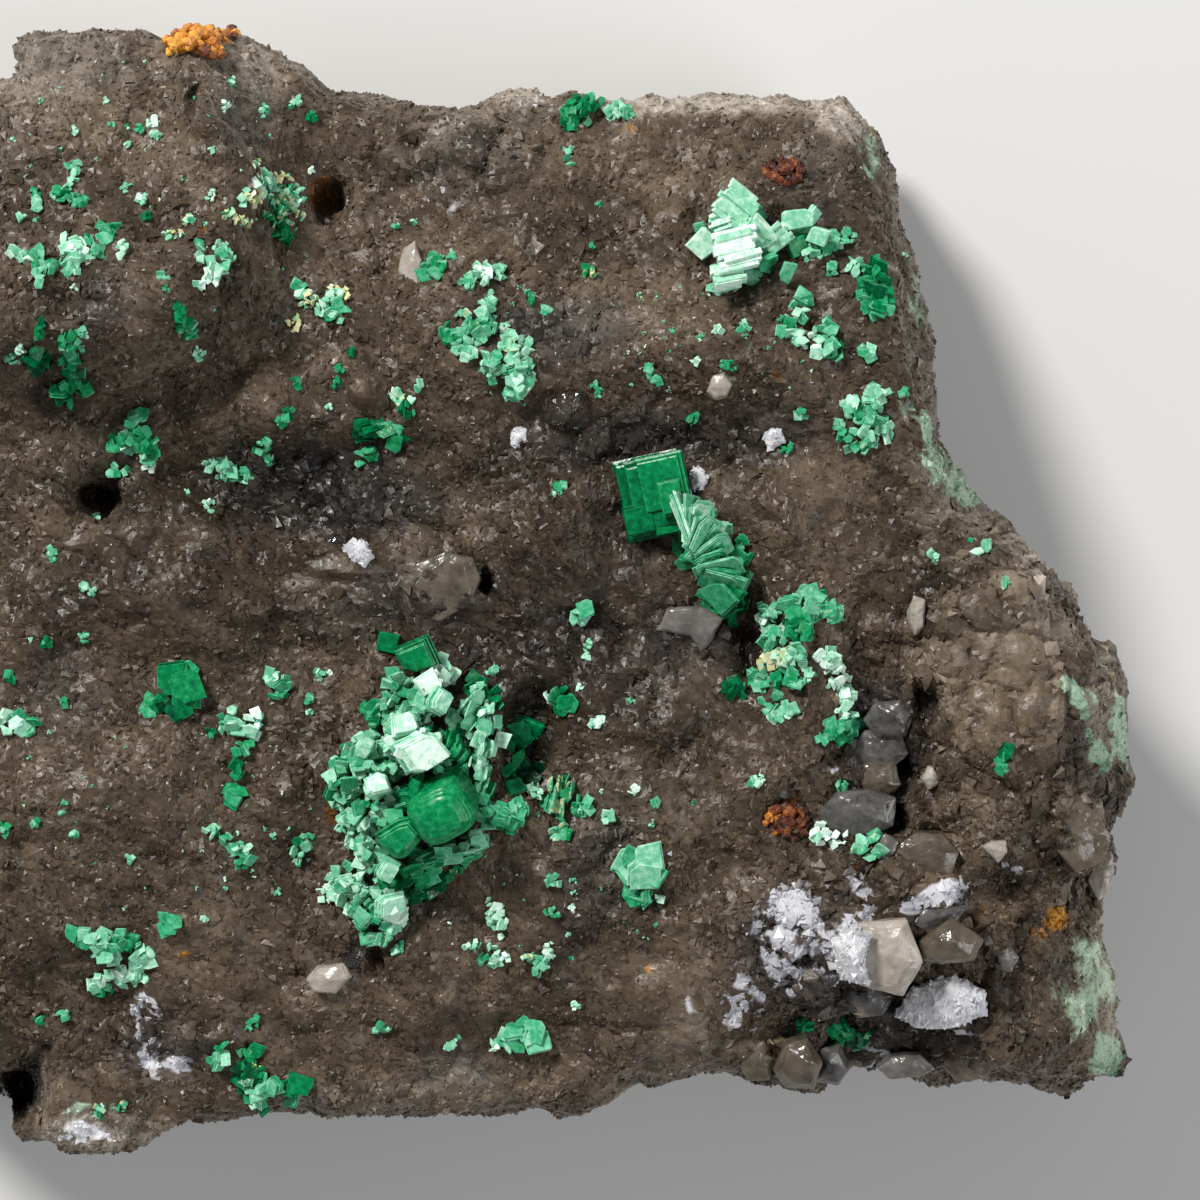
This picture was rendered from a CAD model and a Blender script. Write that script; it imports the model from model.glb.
import math
import random
from typing import NamedTuple

import bmesh
import bpy
import numpy as np
from mathutils import Euler, Matrix, Vector, noise
from mathutils.bvhtree import BVHTree


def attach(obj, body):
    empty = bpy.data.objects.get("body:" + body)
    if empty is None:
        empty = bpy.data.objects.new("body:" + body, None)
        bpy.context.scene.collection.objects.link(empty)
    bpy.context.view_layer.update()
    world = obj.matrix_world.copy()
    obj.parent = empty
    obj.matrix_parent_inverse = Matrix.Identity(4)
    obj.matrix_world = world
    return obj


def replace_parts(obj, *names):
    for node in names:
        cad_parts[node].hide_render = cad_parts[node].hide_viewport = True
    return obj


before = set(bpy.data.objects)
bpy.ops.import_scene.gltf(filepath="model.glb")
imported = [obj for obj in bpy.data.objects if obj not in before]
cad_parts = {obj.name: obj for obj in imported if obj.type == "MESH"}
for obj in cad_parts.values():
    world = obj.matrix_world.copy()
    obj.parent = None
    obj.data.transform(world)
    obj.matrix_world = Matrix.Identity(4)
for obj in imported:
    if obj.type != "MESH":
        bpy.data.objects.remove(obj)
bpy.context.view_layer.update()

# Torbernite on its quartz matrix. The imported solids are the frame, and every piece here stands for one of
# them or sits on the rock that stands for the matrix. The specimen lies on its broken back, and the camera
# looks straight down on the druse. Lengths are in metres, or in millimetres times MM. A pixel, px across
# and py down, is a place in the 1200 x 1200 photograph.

MM = 0.001
UP = Vector((0, 0, 1))
noise.seed_set(5)             # noise vectors differ from run to run without a seed

# The photograph's view
PIXEL = 0.025 * MM            # a pixel on the plane of focus
FRAME_PIXELS = 1200
HALF_FRAME = FRAME_PIXELS / 2
LENS = 100.0
SENSOR = 36.0
FOCUS_LEVEL = 10.5 * MM
VIEW_CENTRE = Vector((5.0 * MM, -0.25 * MM, 0))
VIEW_DISTANCE = FRAME_PIXELS * PIXEL * LENS / SENSOR
EYE = VIEW_CENTRE + UP * (FOCUS_LEVEL + VIEW_DISTANCE)


def make_camera():
    data = bpy.data.cameras.new("camera")
    data.lens = LENS
    data.sensor_width = SENSOR
    data.clip_start = 0.002
    data.clip_end = 5.0
    camera = bpy.data.objects.new("camera", data)
    camera.location = EYE
    bpy.context.scene.collection.objects.link(camera)
    bpy.context.scene.camera = camera


make_camera()


# Materials

QUARTZ_IOR = 1.54
TORBERNITE_IOR = 1.59


class Tree:
    """A material's nodes. Inputs are set by name: a number, a colour or another node's output."""

    def __init__(self, name):
        self.material = bpy.data.materials.new(name)
        self.material.use_nodes = True
        self.nodes = self.material.node_tree.nodes
        self.links = self.material.node_tree.links
        self.shader = self.nodes["Principled BSDF"]
        self.place = self.add("ShaderNodeTexCoord").outputs["Object"]

    def add(self, kind, settings=None, **inputs):
        node = self.nodes.new(kind)
        for key, value in (settings or {}).items():
            setattr(node, key, value)
        self.feed(node, inputs)
        return node

    def feed(self, node, inputs):
        for key, value in inputs.items():
            socket = node.inputs[int(key[1:])] if key[0] == "_" else node.inputs[key.replace("_", " ")]
            if isinstance(value, bpy.types.NodeSocket):
                self.links.new(value, socket)
            elif isinstance(value, tuple) and len(value) == 3 and socket.type == "RGBA":
                socket.default_value = (*value, 1)
            else:
                socket.default_value = value

    def noise(self, size, detail=3, rough=0.55):
        """Soft noise from 0 to 1 whose blobs are size mm across."""
        made = self.add("ShaderNodeTexNoise", Vector=self.place, Scale=1 / (size * MM), Detail=detail,
                        Roughness=rough)
        return made.outputs["Fac"]

    def attribute(self, name):
        return self.add("ShaderNodeAttribute", {"attribute_name": name}).outputs["Fac"]

    def island(self):
        return self.add("ShaderNodeNewGeometry").outputs["Random Per Island"]

    def math(self, operation, a, b, clamp=False):
        return self.add("ShaderNodeMath", {"operation": operation, "use_clamp": clamp}, _0=a, _1=b).outputs[0]

    def span(self, value, low, high, to_low=0.0, to_high=1.0):
        made = self.add("ShaderNodeMapRange", Value=value, From_Min=low, From_Max=high, To_Min=to_low,
                        To_Max=to_high)
        return made.outputs["Result"]

    def ramp(self, value, stops):
        made = self.add("ShaderNodeValToRGB", _0=value)
        spots = made.color_ramp.elements
        while len(spots) < len(stops):
            spots.new(0.5)
        for spot, (at, colour) in zip(spots, stops):
            spot.position = at
            spot.color = (*colour, 1)
        return made.outputs["Color"]

    def mix(self, share, a, b):
        made = self.add("ShaderNodeMix", {"data_type": "RGBA"}, _0=share, _6=a, _7=b)
        return made.outputs[2]

    def bump(self, height, depth):
        """Bump whose full height is depth mm."""
        return self.add("ShaderNodeBump", Distance=depth * MM, Height=height).outputs["Normal"]


def druse_material():
    """Brown quartz, toned by the rock's marks: cool, shade, pale, rust, film and frost."""
    tree = Tree("quartz_druse")
    fine = tree.noise(0.11, 2, 0.6)
    tone = tree.math("ADD", tree.attribute("tone"), tree.span(fine, 0.3, 0.7, -0.05, 0.05))
    brown = tree.ramp(tone, [(0.0, (0.012, 0.0085, 0.006)), (0.2, (0.03, 0.0195, 0.012)),
                             (0.4, (0.066, 0.046, 0.029)), (0.6, (0.132, 0.096, 0.063)),
                             (0.8, (0.25, 0.197, 0.143)), (1.0, (0.5, 0.44, 0.37))])
    grey = tree.ramp(tone, [(0.0, (0.012, 0.01, 0.01)), (0.4, (0.056, 0.047, 0.041)),
                            (0.7, (0.17, 0.15, 0.13)), (1.0, (0.5, 0.48, 0.46))])
    colour = tree.mix(tree.attribute("cool"), brown, grey)
    speckled = tree.math("ADD", tone, tree.span(tree.noise(0.3, 3, 0.7), 0.35, 0.65, -0.2, 0.2))
    beige = tree.ramp(speckled, [(0.1, (0.05, 0.038, 0.028)), (0.5, (0.2, 0.165, 0.125)),
                                 (0.9, (0.46, 0.41, 0.35))])
    colour = tree.mix(tree.attribute("pale"), colour, beige)
    swing = tree.span(tone, 0.1, 0.9, -0.4, 0.4)
    rust = tree.ramp(tone, [(0.2, (0.03, 0.01, 0.003)), (0.45, (0.13, 0.05, 0.009)),
                            (0.75, (0.6, 0.27, 0.03))])
    reach = tree.math("ADD", tree.attribute("rust"), swing)
    colour = tree.mix(tree.span(reach, 0.35, 0.65), colour, rust)
    film = tree.ramp(tone, [(0.25, (0.13, 0.26, 0.17)), (0.5, (0.3, 0.42, 0.3)), (0.8, (0.55, 0.66, 0.5))])
    reach = tree.math("ADD", tree.attribute("film"), swing)
    colour = tree.mix(tree.span(reach, 0.4, 0.8), colour, film)
    frost = tree.ramp(tone, [(0.3, (0.36, 0.36, 0.39)), (0.6, (0.6, 0.6, 0.64)), (0.9, (0.88, 0.88, 0.9))])
    reach = tree.math("ADD", tree.attribute("frost"), swing)
    colour = tree.mix(tree.span(reach, 0.35, 0.65), colour, frost)
    shade = tree.math("MULTIPLY", tree.attribute("shade"), 0.9, clamp=True)
    colour = tree.mix(shade, colour, (0.009, 0.006, 0.003))
    rough = tree.span(fine, 0.3, 0.7, 0.28, 0.55)
    tree.feed(tree.shader, {"Base Color": colour, "Roughness": rough, "IOR": QUARTZ_IOR,
                            "Specular IOR Level": 0.28, "Normal": tree.bump(fine, 0.015)})
    return tree.material


def torbernite_material():
    """Emerald where clear and mint to white where dulled, by each plate's pale and crust marks."""
    tree = Tree("torbernite")
    lot = tree.island()
    grain = tree.noise(0.16, 3, 0.65)
    tone = tree.math("ADD", tree.attribute("pale"), tree.span(lot, 0, 1, -0.07, 0.07))
    tone = tree.math("ADD", tone, tree.span(grain, 0.3, 0.7, -0.13, 0.13))
    green = tree.ramp(tone, [(0.0, (0.0, 0.03, 0.012)), (0.18, (0.0, 0.1, 0.036)),
                             (0.36, (0.0, 0.22, 0.064)), (0.55, (0.04, 0.36, 0.17)),
                             (0.74, (0.2, 0.55, 0.36)), (0.88, (0.42, 0.75, 0.55)),
                             (1.0, (0.74, 0.92, 0.81))])
    reach = tree.math("ADD", tree.attribute("crust"), tree.span(grain, 0.3, 0.7, -0.4, 0.4))
    crust = tree.ramp(lot, [(0.2, (0.5, 0.56, 0.25)), (0.6, (0.74, 0.73, 0.43)), (0.9, (0.7, 0.56, 0.32))])
    colour = tree.mix(tree.span(reach, 0.45, 0.6), green, crust)
    rough = tree.span(tone, 0.1, 1.0, 0.16, 0.5)
    gloss = tree.span(tone, 0.25, 0.7, 0.14, 0.32)
    tree.feed(tree.shader, {"Base Color": colour, "Roughness": rough, "Normal": tree.bump(grain, 0.01),
                            "IOR": TORBERNITE_IOR, "Specular IOR Level": gloss})
    return tree.material


CLEAR_ROUGHNESS = 0.05
CLEAR_TINT = (0.75, 0.68, 0.58)
CLEAR_DENSITY = 250           # of the absorption, a metre


def clear_quartz_material():
    """See-through quartz: colour comes from absorption inside, with veils and a fine surface texture."""
    tree = Tree("quartz_clear")
    veil = tree.noise(0.5, 4, 0.6)
    fine = tree.noise(0.08, 2)
    colour = tree.ramp(veil, [(0.35, (0.97, 0.97, 0.97)), (0.7, (0.8, 0.78, 0.75))])
    rough = tree.span(tree.math("ADD", veil, tree.math("MULTIPLY", fine, 0.4)), 0.4, 0.95, CLEAR_ROUGHNESS,
                      CLEAR_ROUGHNESS + 0.3)
    tree.feed(tree.shader, {"Base Color": colour, "Roughness": rough, "Transmission Weight": 1.0,
                            "IOR": QUARTZ_IOR, "Normal": tree.bump(tree.noise(0.3, 3), 0.02)})
    absorb = tree.add("ShaderNodeVolumeAbsorption", Color=CLEAR_TINT, Density=CLEAR_DENSITY)
    tree.links.new(absorb.outputs["Volume"], tree.nodes["Material Output"].inputs["Volume"])
    return tree.material


def cloudy_quartz_material(name, dark, light, roughness, transmission, light_from=0.7):
    """Milky, frosted or smoky quartz, partly see-through, with uneven faces."""
    tree = Tree(name)
    grain = tree.noise(0.4, 4, 0.6)
    colour = tree.ramp(grain, [(0.3, dark), (light_from, light)])
    rough = tree.span(grain, 0.3, 0.7, roughness, roughness + 0.25)
    tree.feed(tree.shader, {"Base Color": colour, "Roughness": rough, "IOR": QUARTZ_IOR,
                            "Normal": tree.bump(grain, 0.03), "Transmission Weight": transmission})
    return tree.material


def iron_oxide_material():
    tree = Tree("iron_oxide")
    lot = tree.island()
    grain = tree.noise(0.3, 4, 0.65)
    tone = tree.math("ADD", tree.math("MULTIPLY", grain, 0.6), tree.math("MULTIPLY", lot, 0.2))
    tone = tree.math("ADD", tone, tree.attribute("pale"))
    colour = tree.ramp(tone, [(0.2, (0.02, 0.006, 0.003)), (0.42, (0.12, 0.025, 0.006)),
                              (0.62, (0.42, 0.13, 0.01)), (0.85, (0.85, 0.42, 0.05))])
    rough = tree.span(grain, 0.3, 0.7, 0.3, 0.7)
    tree.feed(tree.shader, {"Base Color": colour, "Roughness": rough,
                            "Normal": tree.bump(tree.noise(0.08, 3), 0.04)})
    return tree.material


DRUSE = druse_material()
TORBERNITE = torbernite_material()
CLEAR = clear_quartz_material()
SMOKY = cloudy_quartz_material("quartz_smoky", (0.028, 0.026, 0.025), (0.15, 0.14, 0.13), 0.14, 0.15)
GREY = cloudy_quartz_material("quartz_grey", (0.09, 0.08, 0.073), (0.22, 0.2, 0.185), 0.1, 0.2)
UMBER = cloudy_quartz_material("quartz_umber", (0.065, 0.05, 0.036), (0.17, 0.14, 0.105), 0.12, 0.25)
BROWN = cloudy_quartz_material("quartz_brown", (0.12, 0.09, 0.06), (0.26, 0.21, 0.15), 0.08, 0.5)
BEIGE = cloudy_quartz_material("quartz_beige", (0.34, 0.29, 0.24), (0.6, 0.54, 0.47), 0.12, 0.25)
FROSTED = cloudy_quartz_material("quartz_frosted", (0.5, 0.5, 0.54), (0.88, 0.88, 0.9), 0.25, 0.2, 0.65)
RUST = iron_oxide_material()


# Zones of the druse, placed by pixel

class Zone(NamedTuple):
    """An ellipse seen from above: its centre in the photograph, half sizes in mm and turn in degrees."""

    px: float
    py: float
    half_length: float
    half_width: float
    turn: float = 0.0
    strength: float = 1.0
    soft: float = 0.6     # share of the radius over which it fades


# The rows of these lists are zones. A strength is how much lighter, or how strongly marked
LIGHTNESS = [
    (105, 1130, 2.2, 0.7, 0, 0.3), (1110, 940, 0.5, 3.4, 0, 0.15), (80, 90, 5.0, 2.4, 0, 0.17, 0.8),
    (250, 80, 1.8, 1.5, 0, 0.22, 0.8), (170, 170, 3.4, 2.0, 0, 0.06, 0.8),
    (440, 150, 4.0, 1.3, 0, 0.13, 0.8), (700, 155, 4.6, 1.8, 0, 0.15, 0.8),
    (620, 305, 4.2, 1.7, 0, 0.15, 0.8), (300, 495, 5.6, 1.5, -8, -0.17, 0.8),
    (640, 445, 4.6, 1.1, 0, -0.13, 0.8), (490, 465, 2.8, 1.2, 0, -0.13, 0.8),
    (540, 650, 4.6, 2.8, -10, -0.3, 0.7), (580, 560, 3.4, 1.6, 0, -0.14, 0.8),
    (180, 590, 5.6, 2.2, 0, -0.16, 0.8), (130, 790, 4.0, 2.0, 0, 0.04, 0.8),
    (1010, 650, 2.8, 4.2, -15, 0.2, 0.7), (985, 825, 2.0, 1.4, 0, 0.18, 0.8),
    (670, 990, 2.4, 3.2, 20, 0.1, 0.8), (250, 960, 3.2, 2.0, 0, 0.07, 0.8),
    (890, 745, 1.5, 2.4, 5, -0.22, 0.8), (680, 730, 2.6, 1.2, -10, -0.07, 0.8),
    (1050, 950, 1.4, 1.4, 0, -0.06, 0.8), (480, 1085, 6.0, 0.9, 0, 0.12, 0.8),
    (120, 1080, 3.0, 1.2, 0, 0.06, 0.8), (690, 104, 4.8, 0.55, 0, 0.26, 0.7),
    (1056, 916, 0.6, 0.5, 20, 0.3, 0.7), (520, 97, 1.2, 0.55, 0, 0.3, 0.7),
    (845, 118, 1.4, 0.8, -30, 0.26, 0.7), (1105, 720, 0.9, 2.4, -5, 0.16, 0.8),
    (1095, 1000, 1.1, 2.8, -5, 0.2, 0.8), (950, 480, 1.4, 0.8, -45, 0.12, 0.8),
    (300, 370, 3.2, 1.2, 0, 0.05, 0.8), (870, 560, 1.6, 2.6, 0, -0.04, 0.8),
    (450, 250, 2.6, 1.2, 0, 0.06, 0.8),
]

MARKS = {
    "coarse": [
        (1000, 660, 3.4, 4.6, -15, 1.0, 0.4), (900, 960, 4.6, 3.4, 0, 1.0, 0.4),
        (1080, 820, 1.6, 3.4, 0, 1.0), (300, 490, 3.4, 1.2, -8, 0.8), (560, 330, 2.6, 1.1, 5, 0.7),
        (450, 150, 3.6, 1.4, 0, 0.8), (430, 590, 2.6, 1.2, 0, 0.5), (650, 440, 3.6, 1.2, 0, 0.6),
        (330, 960, 1.8, 1.2, 0, 0.7), (160, 1050, 2.2, 1.4, 0, 0.7), (690, 640, 2.4, 1.4, 0, 0.6),
        (870, 740, 1.4, 2.4, 0, 0.8), (240, 280, 1.2, 0.7, 0, 0.8), (600, 860, 2.4, 2.4, 0, 0.4),
        (820, 1050, 2.4, 1.2, 0, 1.0),
    ],
    "shade": [
        (200, 500, 6.2, 1.0, -6, 0.65), (330, 480, 4.0, 1.3, -10, 0.6), (92, 495, 0.5, 0.4, 0, 1.5),
        (640, 440, 5.5, 0.9, -3, 0.5), (487, 583, 0.2, 0.32, 0, 1.6, 0.4), (20, 1090, 0.7, 0.9, 0, 1.3),
        (524, 735, 1.0, 1.5, -10, 1.4), (430, 900, 1.9, 0.5, -25, 0.8), (745, 650, 0.7, 1.1, 20, 0.9),
        (890, 745, 0.9, 1.5, 10, 1.2), (894, 817, 0.45, 0.7, 0, 1.3), (925, 705, 0.45, 0.9, 0, 0.8),
        (870, 996, 1.1, 0.5, -15, 1.0), (931, 918, 0.7, 0.3, 20, 1.0), (820, 230, 1.3, 0.9, 0, 0.4),
        (745, 275, 0.5, 0.4, 0, 0.9), (60, 390, 1.2, 1.2, 0, 0.7), (330, 195, 0.7, 0.7, 0, 0.35),
        (190, 95, 0.3, 1.1, 0, 0.5), (240, 115, 1.2, 0.8, 0, 0.3), (400, 440, 1.5, 0.9, 0, 0.6),
        (510, 480, 1.8, 1.0, 0, 0.4), (560, 325, 1.6, 0.5, 10, 0.45), (560, 950, 1.0, 1.8, 0, 0.3),
        (372, 960, 0.2, 0.7, 20, 0.9), (130, 700, 1.2, 0.8, 0, 0.3), (290, 740, 0.7, 1.0, 0, 0.5),
        (60, 270, 1.4, 1.0, 0, 0.35), (95, 290, 0.6, 0.6, 0, 0.6),
    ],
    "cool": [
        (330, 490, 4.2, 1.6, -8, 0.8), (560, 330, 2.6, 1.1, 5, 0.85), (650, 440, 4.4, 1.1, 0, 0.6),
        (300, 500, 2.2, 1.0, -15, 0.9), (430, 590, 2.4, 1.2, 0, 0.6), (60, 60, 2.6, 1.2, 0, 0.5),
        (250, 110, 1.2, 1.6, 0, 0.6), (460, 160, 2.4, 1.2, 0, 0.5), (60, 690, 1.4, 1.6, 0, 0.5),
        (640, 500, 1.6, 2.0, 0, 0.4), (880, 740, 1.2, 2.2, 10, 0.9), (690, 640, 2.2, 1.4, 0, 0.6),
        (600, 860, 1.6, 2.2, 0, 0.5), (800, 950, 2.4, 2.0, 0, 0.7), (160, 1050, 1.6, 1.2, 0, 0.7),
        (460, 1070, 1.6, 0.8, 0, 0.6), (870, 1030, 2.6, 1.4, 0, 0.6), (820, 180, 1.6, 1.4, 0, 0.4),
        (340, 620, 1.6, 0.9, 0, 0.5), (90, 300, 1.6, 1.2, 0, 0.5), (780, 430, 1.2, 1.2, 0, 0.5),
    ],
    "pale": [
        (60, 70, 4.0, 1.2, 5, 0.35), (0, 110, 2.4, 2.4, 0, 0.3), (480, 110, 2.4, 0.8, 0, 0.6),
        (700, 104, 3.6, 0.4, 0, 1.1), (835, 115, 1.3, 0.8, -30, 1.0), (893, 190, 0.45, 2.4, 12, 0.6),
        (925, 340, 0.45, 3.4, 8, 0.8), (520, 97, 1.0, 0.4, 0, 0.9), (230, 55, 2.2, 0.5, -15, 0.6),
        (955, 490, 1.8, 0.9, -45, 0.7), (940, 510, 1.0, 0.6, 0, 0.5), (1040, 565, 2.2, 0.6, -45, 0.9),
        (1105, 700, 0.8, 2.6, -8, 0.8), (1090, 830, 0.9, 1.5, 0, 0.9), (1103, 651, 0.35, 0.5, -30, 1.3),
        (1105, 1000, 0.7, 2.6, -5, 0.45), (330, 980, 1.0, 0.6, -35, 0.5), (460, 1075, 0.6, 0.4, 0, 0.6),
        (400, 1100, 4.5, 0.7, 0, 0.3), (90, 1135, 2.0, 0.7, 0, 0.8), (285, 290, 1.8, 0.4, 15, 0.2),
        (680, 1060, 1.6, 1.4, 40, 0.3), (916, 617, 0.3, 0.5, 0, 0.9), (931, 776, 0.35, 0.35, 0, 0.9),
        (1000, 600, 2.4, 2.0, -40, 0.15), (640, 790, 2.5, 1.2, -15, 0.2), (880, 940, 1.2, 0.8, 0, 0.3),
    ],
    "frost": [
        (803, 918, 1.0, 0.9, 0, 0.85), (743, 1006, 0.8, 1.0, -20, 0.95), (788, 966, 0.8, 1.1, 10, 0.8),
        (932, 900, 1.3, 0.42, 22, 1.25), (860, 922, 0.9, 0.36, 25, 1.0), (768, 925, 0.5, 0.8, 0, 0.8),
        (832, 960, 0.5, 0.8, 0, 0.85), (790, 935, 1.4, 1.9, 0, 0.7), (860, 885, 0.8, 0.5, 0, 0.6),
        (880, 1045, 1.2, 0.7, 0, 0.45), (1010, 870, 0.3, 0.3, 0, 0.6), (147, 1010, 0.5, 0.5, 0, 1.05),
        (152, 1045, 0.5, 0.8, 0, 1.05), (178, 1066, 0.5, 0.35, 0, 1.05), (530, 104, 0.6, 0.3, 20, 0.3),
        (455, 1075, 0.5, 0.3, 0, 0.4), (830, 768, 0.6, 0.2, 0, 0.4), (960, 1040, 0.5, 0.3, 0, 0.5),
        (845, 1112, 0.3, 0.2, 0, 0.5), (1090, 840, 0.3, 0.6, 0, 0.5), (450, 200, 1.0, 0.6, 0, 0.3),
        (85, 1135, 0.9, 0.3, 0, 0.5), (690, 1000, 0.3, 0.6, 0, 0.35),
    ],
    "rust": [
        (325, 195, 0.45, 0.65, 0, 1.2), (1056, 918, 0.45, 0.4, 20, 1.4), (1030, 935, 0.9, 0.6, 20, 0.5),
        (1005, 895, 1.3, 1.1, 0, 0.3), (332, 817, 0.25, 0.4, 0, 1.0), (790, 820, 0.8, 0.65, 0, 0.9),
        (372, 965, 0.2, 0.5, 20, 0.9), (268, 920, 0.2, 0.15, 0, 0.7), (190, 953, 0.25, 0.15, 0, 0.6),
        (651, 970, 0.15, 0.15, 0, 0.9), (591, 1038, 0.1, 0.15, 0, 0.8), (615, 577, 0.16, 0.16, 0, 1.0),
        (855, 868, 0.16, 0.14, 0, 1.0), (778, 376, 0.3, 0.2, 0, 0.7), (872, 990, 0.6, 0.35, 0, 0.5),
        (20, 1080, 0.8, 0.5, 0, 0.4), (625, 130, 0.8, 0.3, 0, 0.4), (200, 228, 0.12, 0.2, 0, 1.0),
        (240, 543, 0.15, 0.12, 0, 0.9), (920, 760, 0.3, 0.9, 10, 0.35), (430, 330, 1.0, 1.2, 0, 0.1),
    ],
    "film": [
        (872, 155, 0.3, 0.9, 15, 0.9), (950, 475, 0.6, 1.5, 45, 1.0), (1080, 700, 0.3, 0.9, 25, 1.2),
        (1098, 752, 0.3, 0.8, 20, 1.2), (1120, 735, 0.35, 1.7, 0, 0.95), (1078, 985, 0.9, 1.9, -5, 0.8),
        (1108, 1060, 0.6, 0.9, 0, 1.3), (1112, 960, 0.4, 1.6, 0, 0.9), (1050, 1000, 0.5, 0.9, 0, 0.5),
        (915, 300, 0.3, 2.6, 5, 0.5), (925, 420, 0.3, 1.2, 5, 0.6), (100, 1108, 1.2, 0.2, 0, 0.6),
        (918, 790, 0.15, 0.3, 0, 0.8), (690, 340, 1.2, 0.8, 0, 0.25), (720, 378, 0.9, 0.35, 0, 0.4),
        (905, 400, 0.25, 0.9, 0, 0.45), (885, 260, 0.2, 1.0, 0, 0.4),
    ],
    "smooth": [
        (440, 590, 2.0, 1.1, -10), (330, 575, 1.5, 0.6, 5), (1000, 670, 2.4, 3.6, 10, 0.8),
        (640, 690, 2.4, 1.6, 0, 0.7), (600, 580, 1.6, 1.0, 0, 0.6), (369, 397, 0.7, 0.7, 0, 1.0),
        (660, 1000, 1.6, 2.0, 20, 0.6), (235, 935, 1.4, 1.0, 0, 0.6), (170, 640, 2.2, 1.4, 0, 0.4),
        (900, 940, 1.8, 1.0, 0, 0.8), (890, 745, 0.9, 1.4, 0, 0.9),
    ],
}

# Zones whose strength is the depth of a dip in mm, or the height of a rise where it is negative
DIPS = [
    (92, 495, 0.55, 0.42, 0, 1.3, 0.5), (487, 582, 0.24, 0.36, 0, 0.9, 0.4),
    (530, 738, 0.9, 1.6, -10, 1.1, 0.7), (870, 996, 1.0, 0.45, -15, 0.9, 0.5),
    (894, 817, 0.35, 0.55, 0, 0.9, 0.5), (925, 705, 0.4, 0.9, 0, 0.6, 0.6),
    (990, 895, 1.3, 1.0, 20, 0.6, 0.8), (372, 960, 0.2, 0.6, 20, 0.5, 0.6),
    (328, 195, 0.5, 0.6, 0, 0.5, 0.6), (15, 1092, 0.8, 0.7, 0, 1.3, 0.6), (190, 95, 0.25, 1.0, 0, 0.45, 0.9),
    (931, 918, 0.6, 0.25, 20, 0.4, 0.7), (745, 655, 0.5, 1.1, 25, 0.5, 0.8),
    (745, 280, 0.5, 0.5, 0, 0.4, 0.8), (1110, 905, 0.5, 0.4, 0, 0.8, 0.8), (60, 300, 0.8, 0.6, 0, 0.4, 0.8),
    (369, 397, 0.7, 0.65, 0, -0.45, 1.0), (440, 590, 1.15, 0.85, -15, -0.3, 0.5),
    (335, 560, 1.5, 0.55, -5, -0.25, 0.5), (640, 700, 2.2, 1.4, -10, -0.25, 0.4),
    (1000, 660, 2.2, 3.2, 10, -0.3, 0.4), (670, 1020, 1.2, 1.8, 20, -0.3, 0.6),
    (410, 265, 0.5, 0.7, 0, -0.3, 0.6), (1085, 840, 0.9, 1.0, 0, -0.5, 0.6),
    (764, 381, 0.8, 0.45, 10, -0.25, 0.6), (600, 1030, 2.4, 0.3, 0, 0.2, 0.8),
]


def photo_places(points):
    """Where points in metres, as rows of an array, show in the photograph."""
    shrink = VIEW_DISTANCE / (EYE.z - points[:, 2]) / PIXEL
    across = HALF_FRAME + (points[:, 0] - EYE.x) * shrink
    return np.stack([across, HALF_FRAME - (points[:, 1] - EYE.y) * shrink], 1)


def level_places(places, levels):
    """The x and y, in metres, of points that show at the places and stand at the levels."""
    reach = PIXEL * (EYE.z - levels) / VIEW_DISTANCE
    x = EYE.x + (places[:, 0] - HALF_FRAME) * reach
    return np.stack([x, EYE.y + (HALF_FRAME - places[:, 1]) * reach], 1)


def eased(share):
    """A share from 0 to 1, changed to set out and arrive gently."""
    return share * share * (3 - 2 * share)


def zone_strength(row, places):
    """How strong the zone of a row is at each place."""
    zone = Zone(*row)
    turn = math.radians(zone.turn)
    across = (places[:, 0] - zone.px) * PIXEL / MM
    up = (zone.py - places[:, 1]) * PIXEL / MM
    along = across * math.cos(turn) + up * math.sin(turn)
    aside = up * math.cos(turn) - across * math.sin(turn)
    inward = (1 - np.hypot(along / zone.half_length, aside / zone.half_width)) / zone.soft
    return zone.strength * eased(np.clip(inward, 0, 1))


def mark_strength(kind, places):
    """The strongest zone of a kind at each place."""
    most = np.zeros(len(places))
    for row in MARKS[kind]:
        most = np.maximum(most, zone_strength(row, places))
    return most


def wandering(points, size, reach):
    """A smooth random offset for each point. Lengths are in mm."""
    scale = 1 / (size * MM)
    return np.array([noise.noise_vector(Vector(p) * scale) for p in points]) * reach * MM


def ellipse_place(draw, px, py, half_length, half_width):
    """A random pixel of an ellipse whose half sizes are in mm, and its way out from 0 to 1."""
    out, angle = math.sqrt(draw.random()), draw.uniform(0, math.tau)
    across = px + out * math.cos(angle) * half_length * MM / PIXEL
    return across, py + out * math.sin(angle) * half_width * MM / PIXEL, out


# Mesh building

def link(name, mesh, material):
    """Makes an object of a mesh, as a piece of the specimen."""
    mesh.materials.clear()
    mesh.materials.append(material)
    made = bpy.data.objects.new(name, mesh)
    bpy.context.scene.collection.objects.link(made)
    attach(made, "root")
    return made


def array_mesh(name, coords, loops, sizes):
    """A mesh of polygons: corner coordinates, the corners of all faces in a row, and corners per face."""
    mesh = bpy.data.meshes.new(name)
    mesh.vertices.add(len(coords))
    mesh.vertices.foreach_set("co", np.asarray(coords, np.float32).ravel())
    mesh.loops.add(len(loops))
    mesh.loops.foreach_set("vertex_index", np.asarray(loops, np.int32))
    mesh.polygons.add(len(sizes))
    starts = np.concatenate([[0], np.cumsum(sizes)[:-1]])
    mesh.polygons.foreach_set("loop_start", np.asarray(starts, np.int32))
    mesh.update(calc_edges=True)
    mesh.validate()
    return mesh


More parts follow.
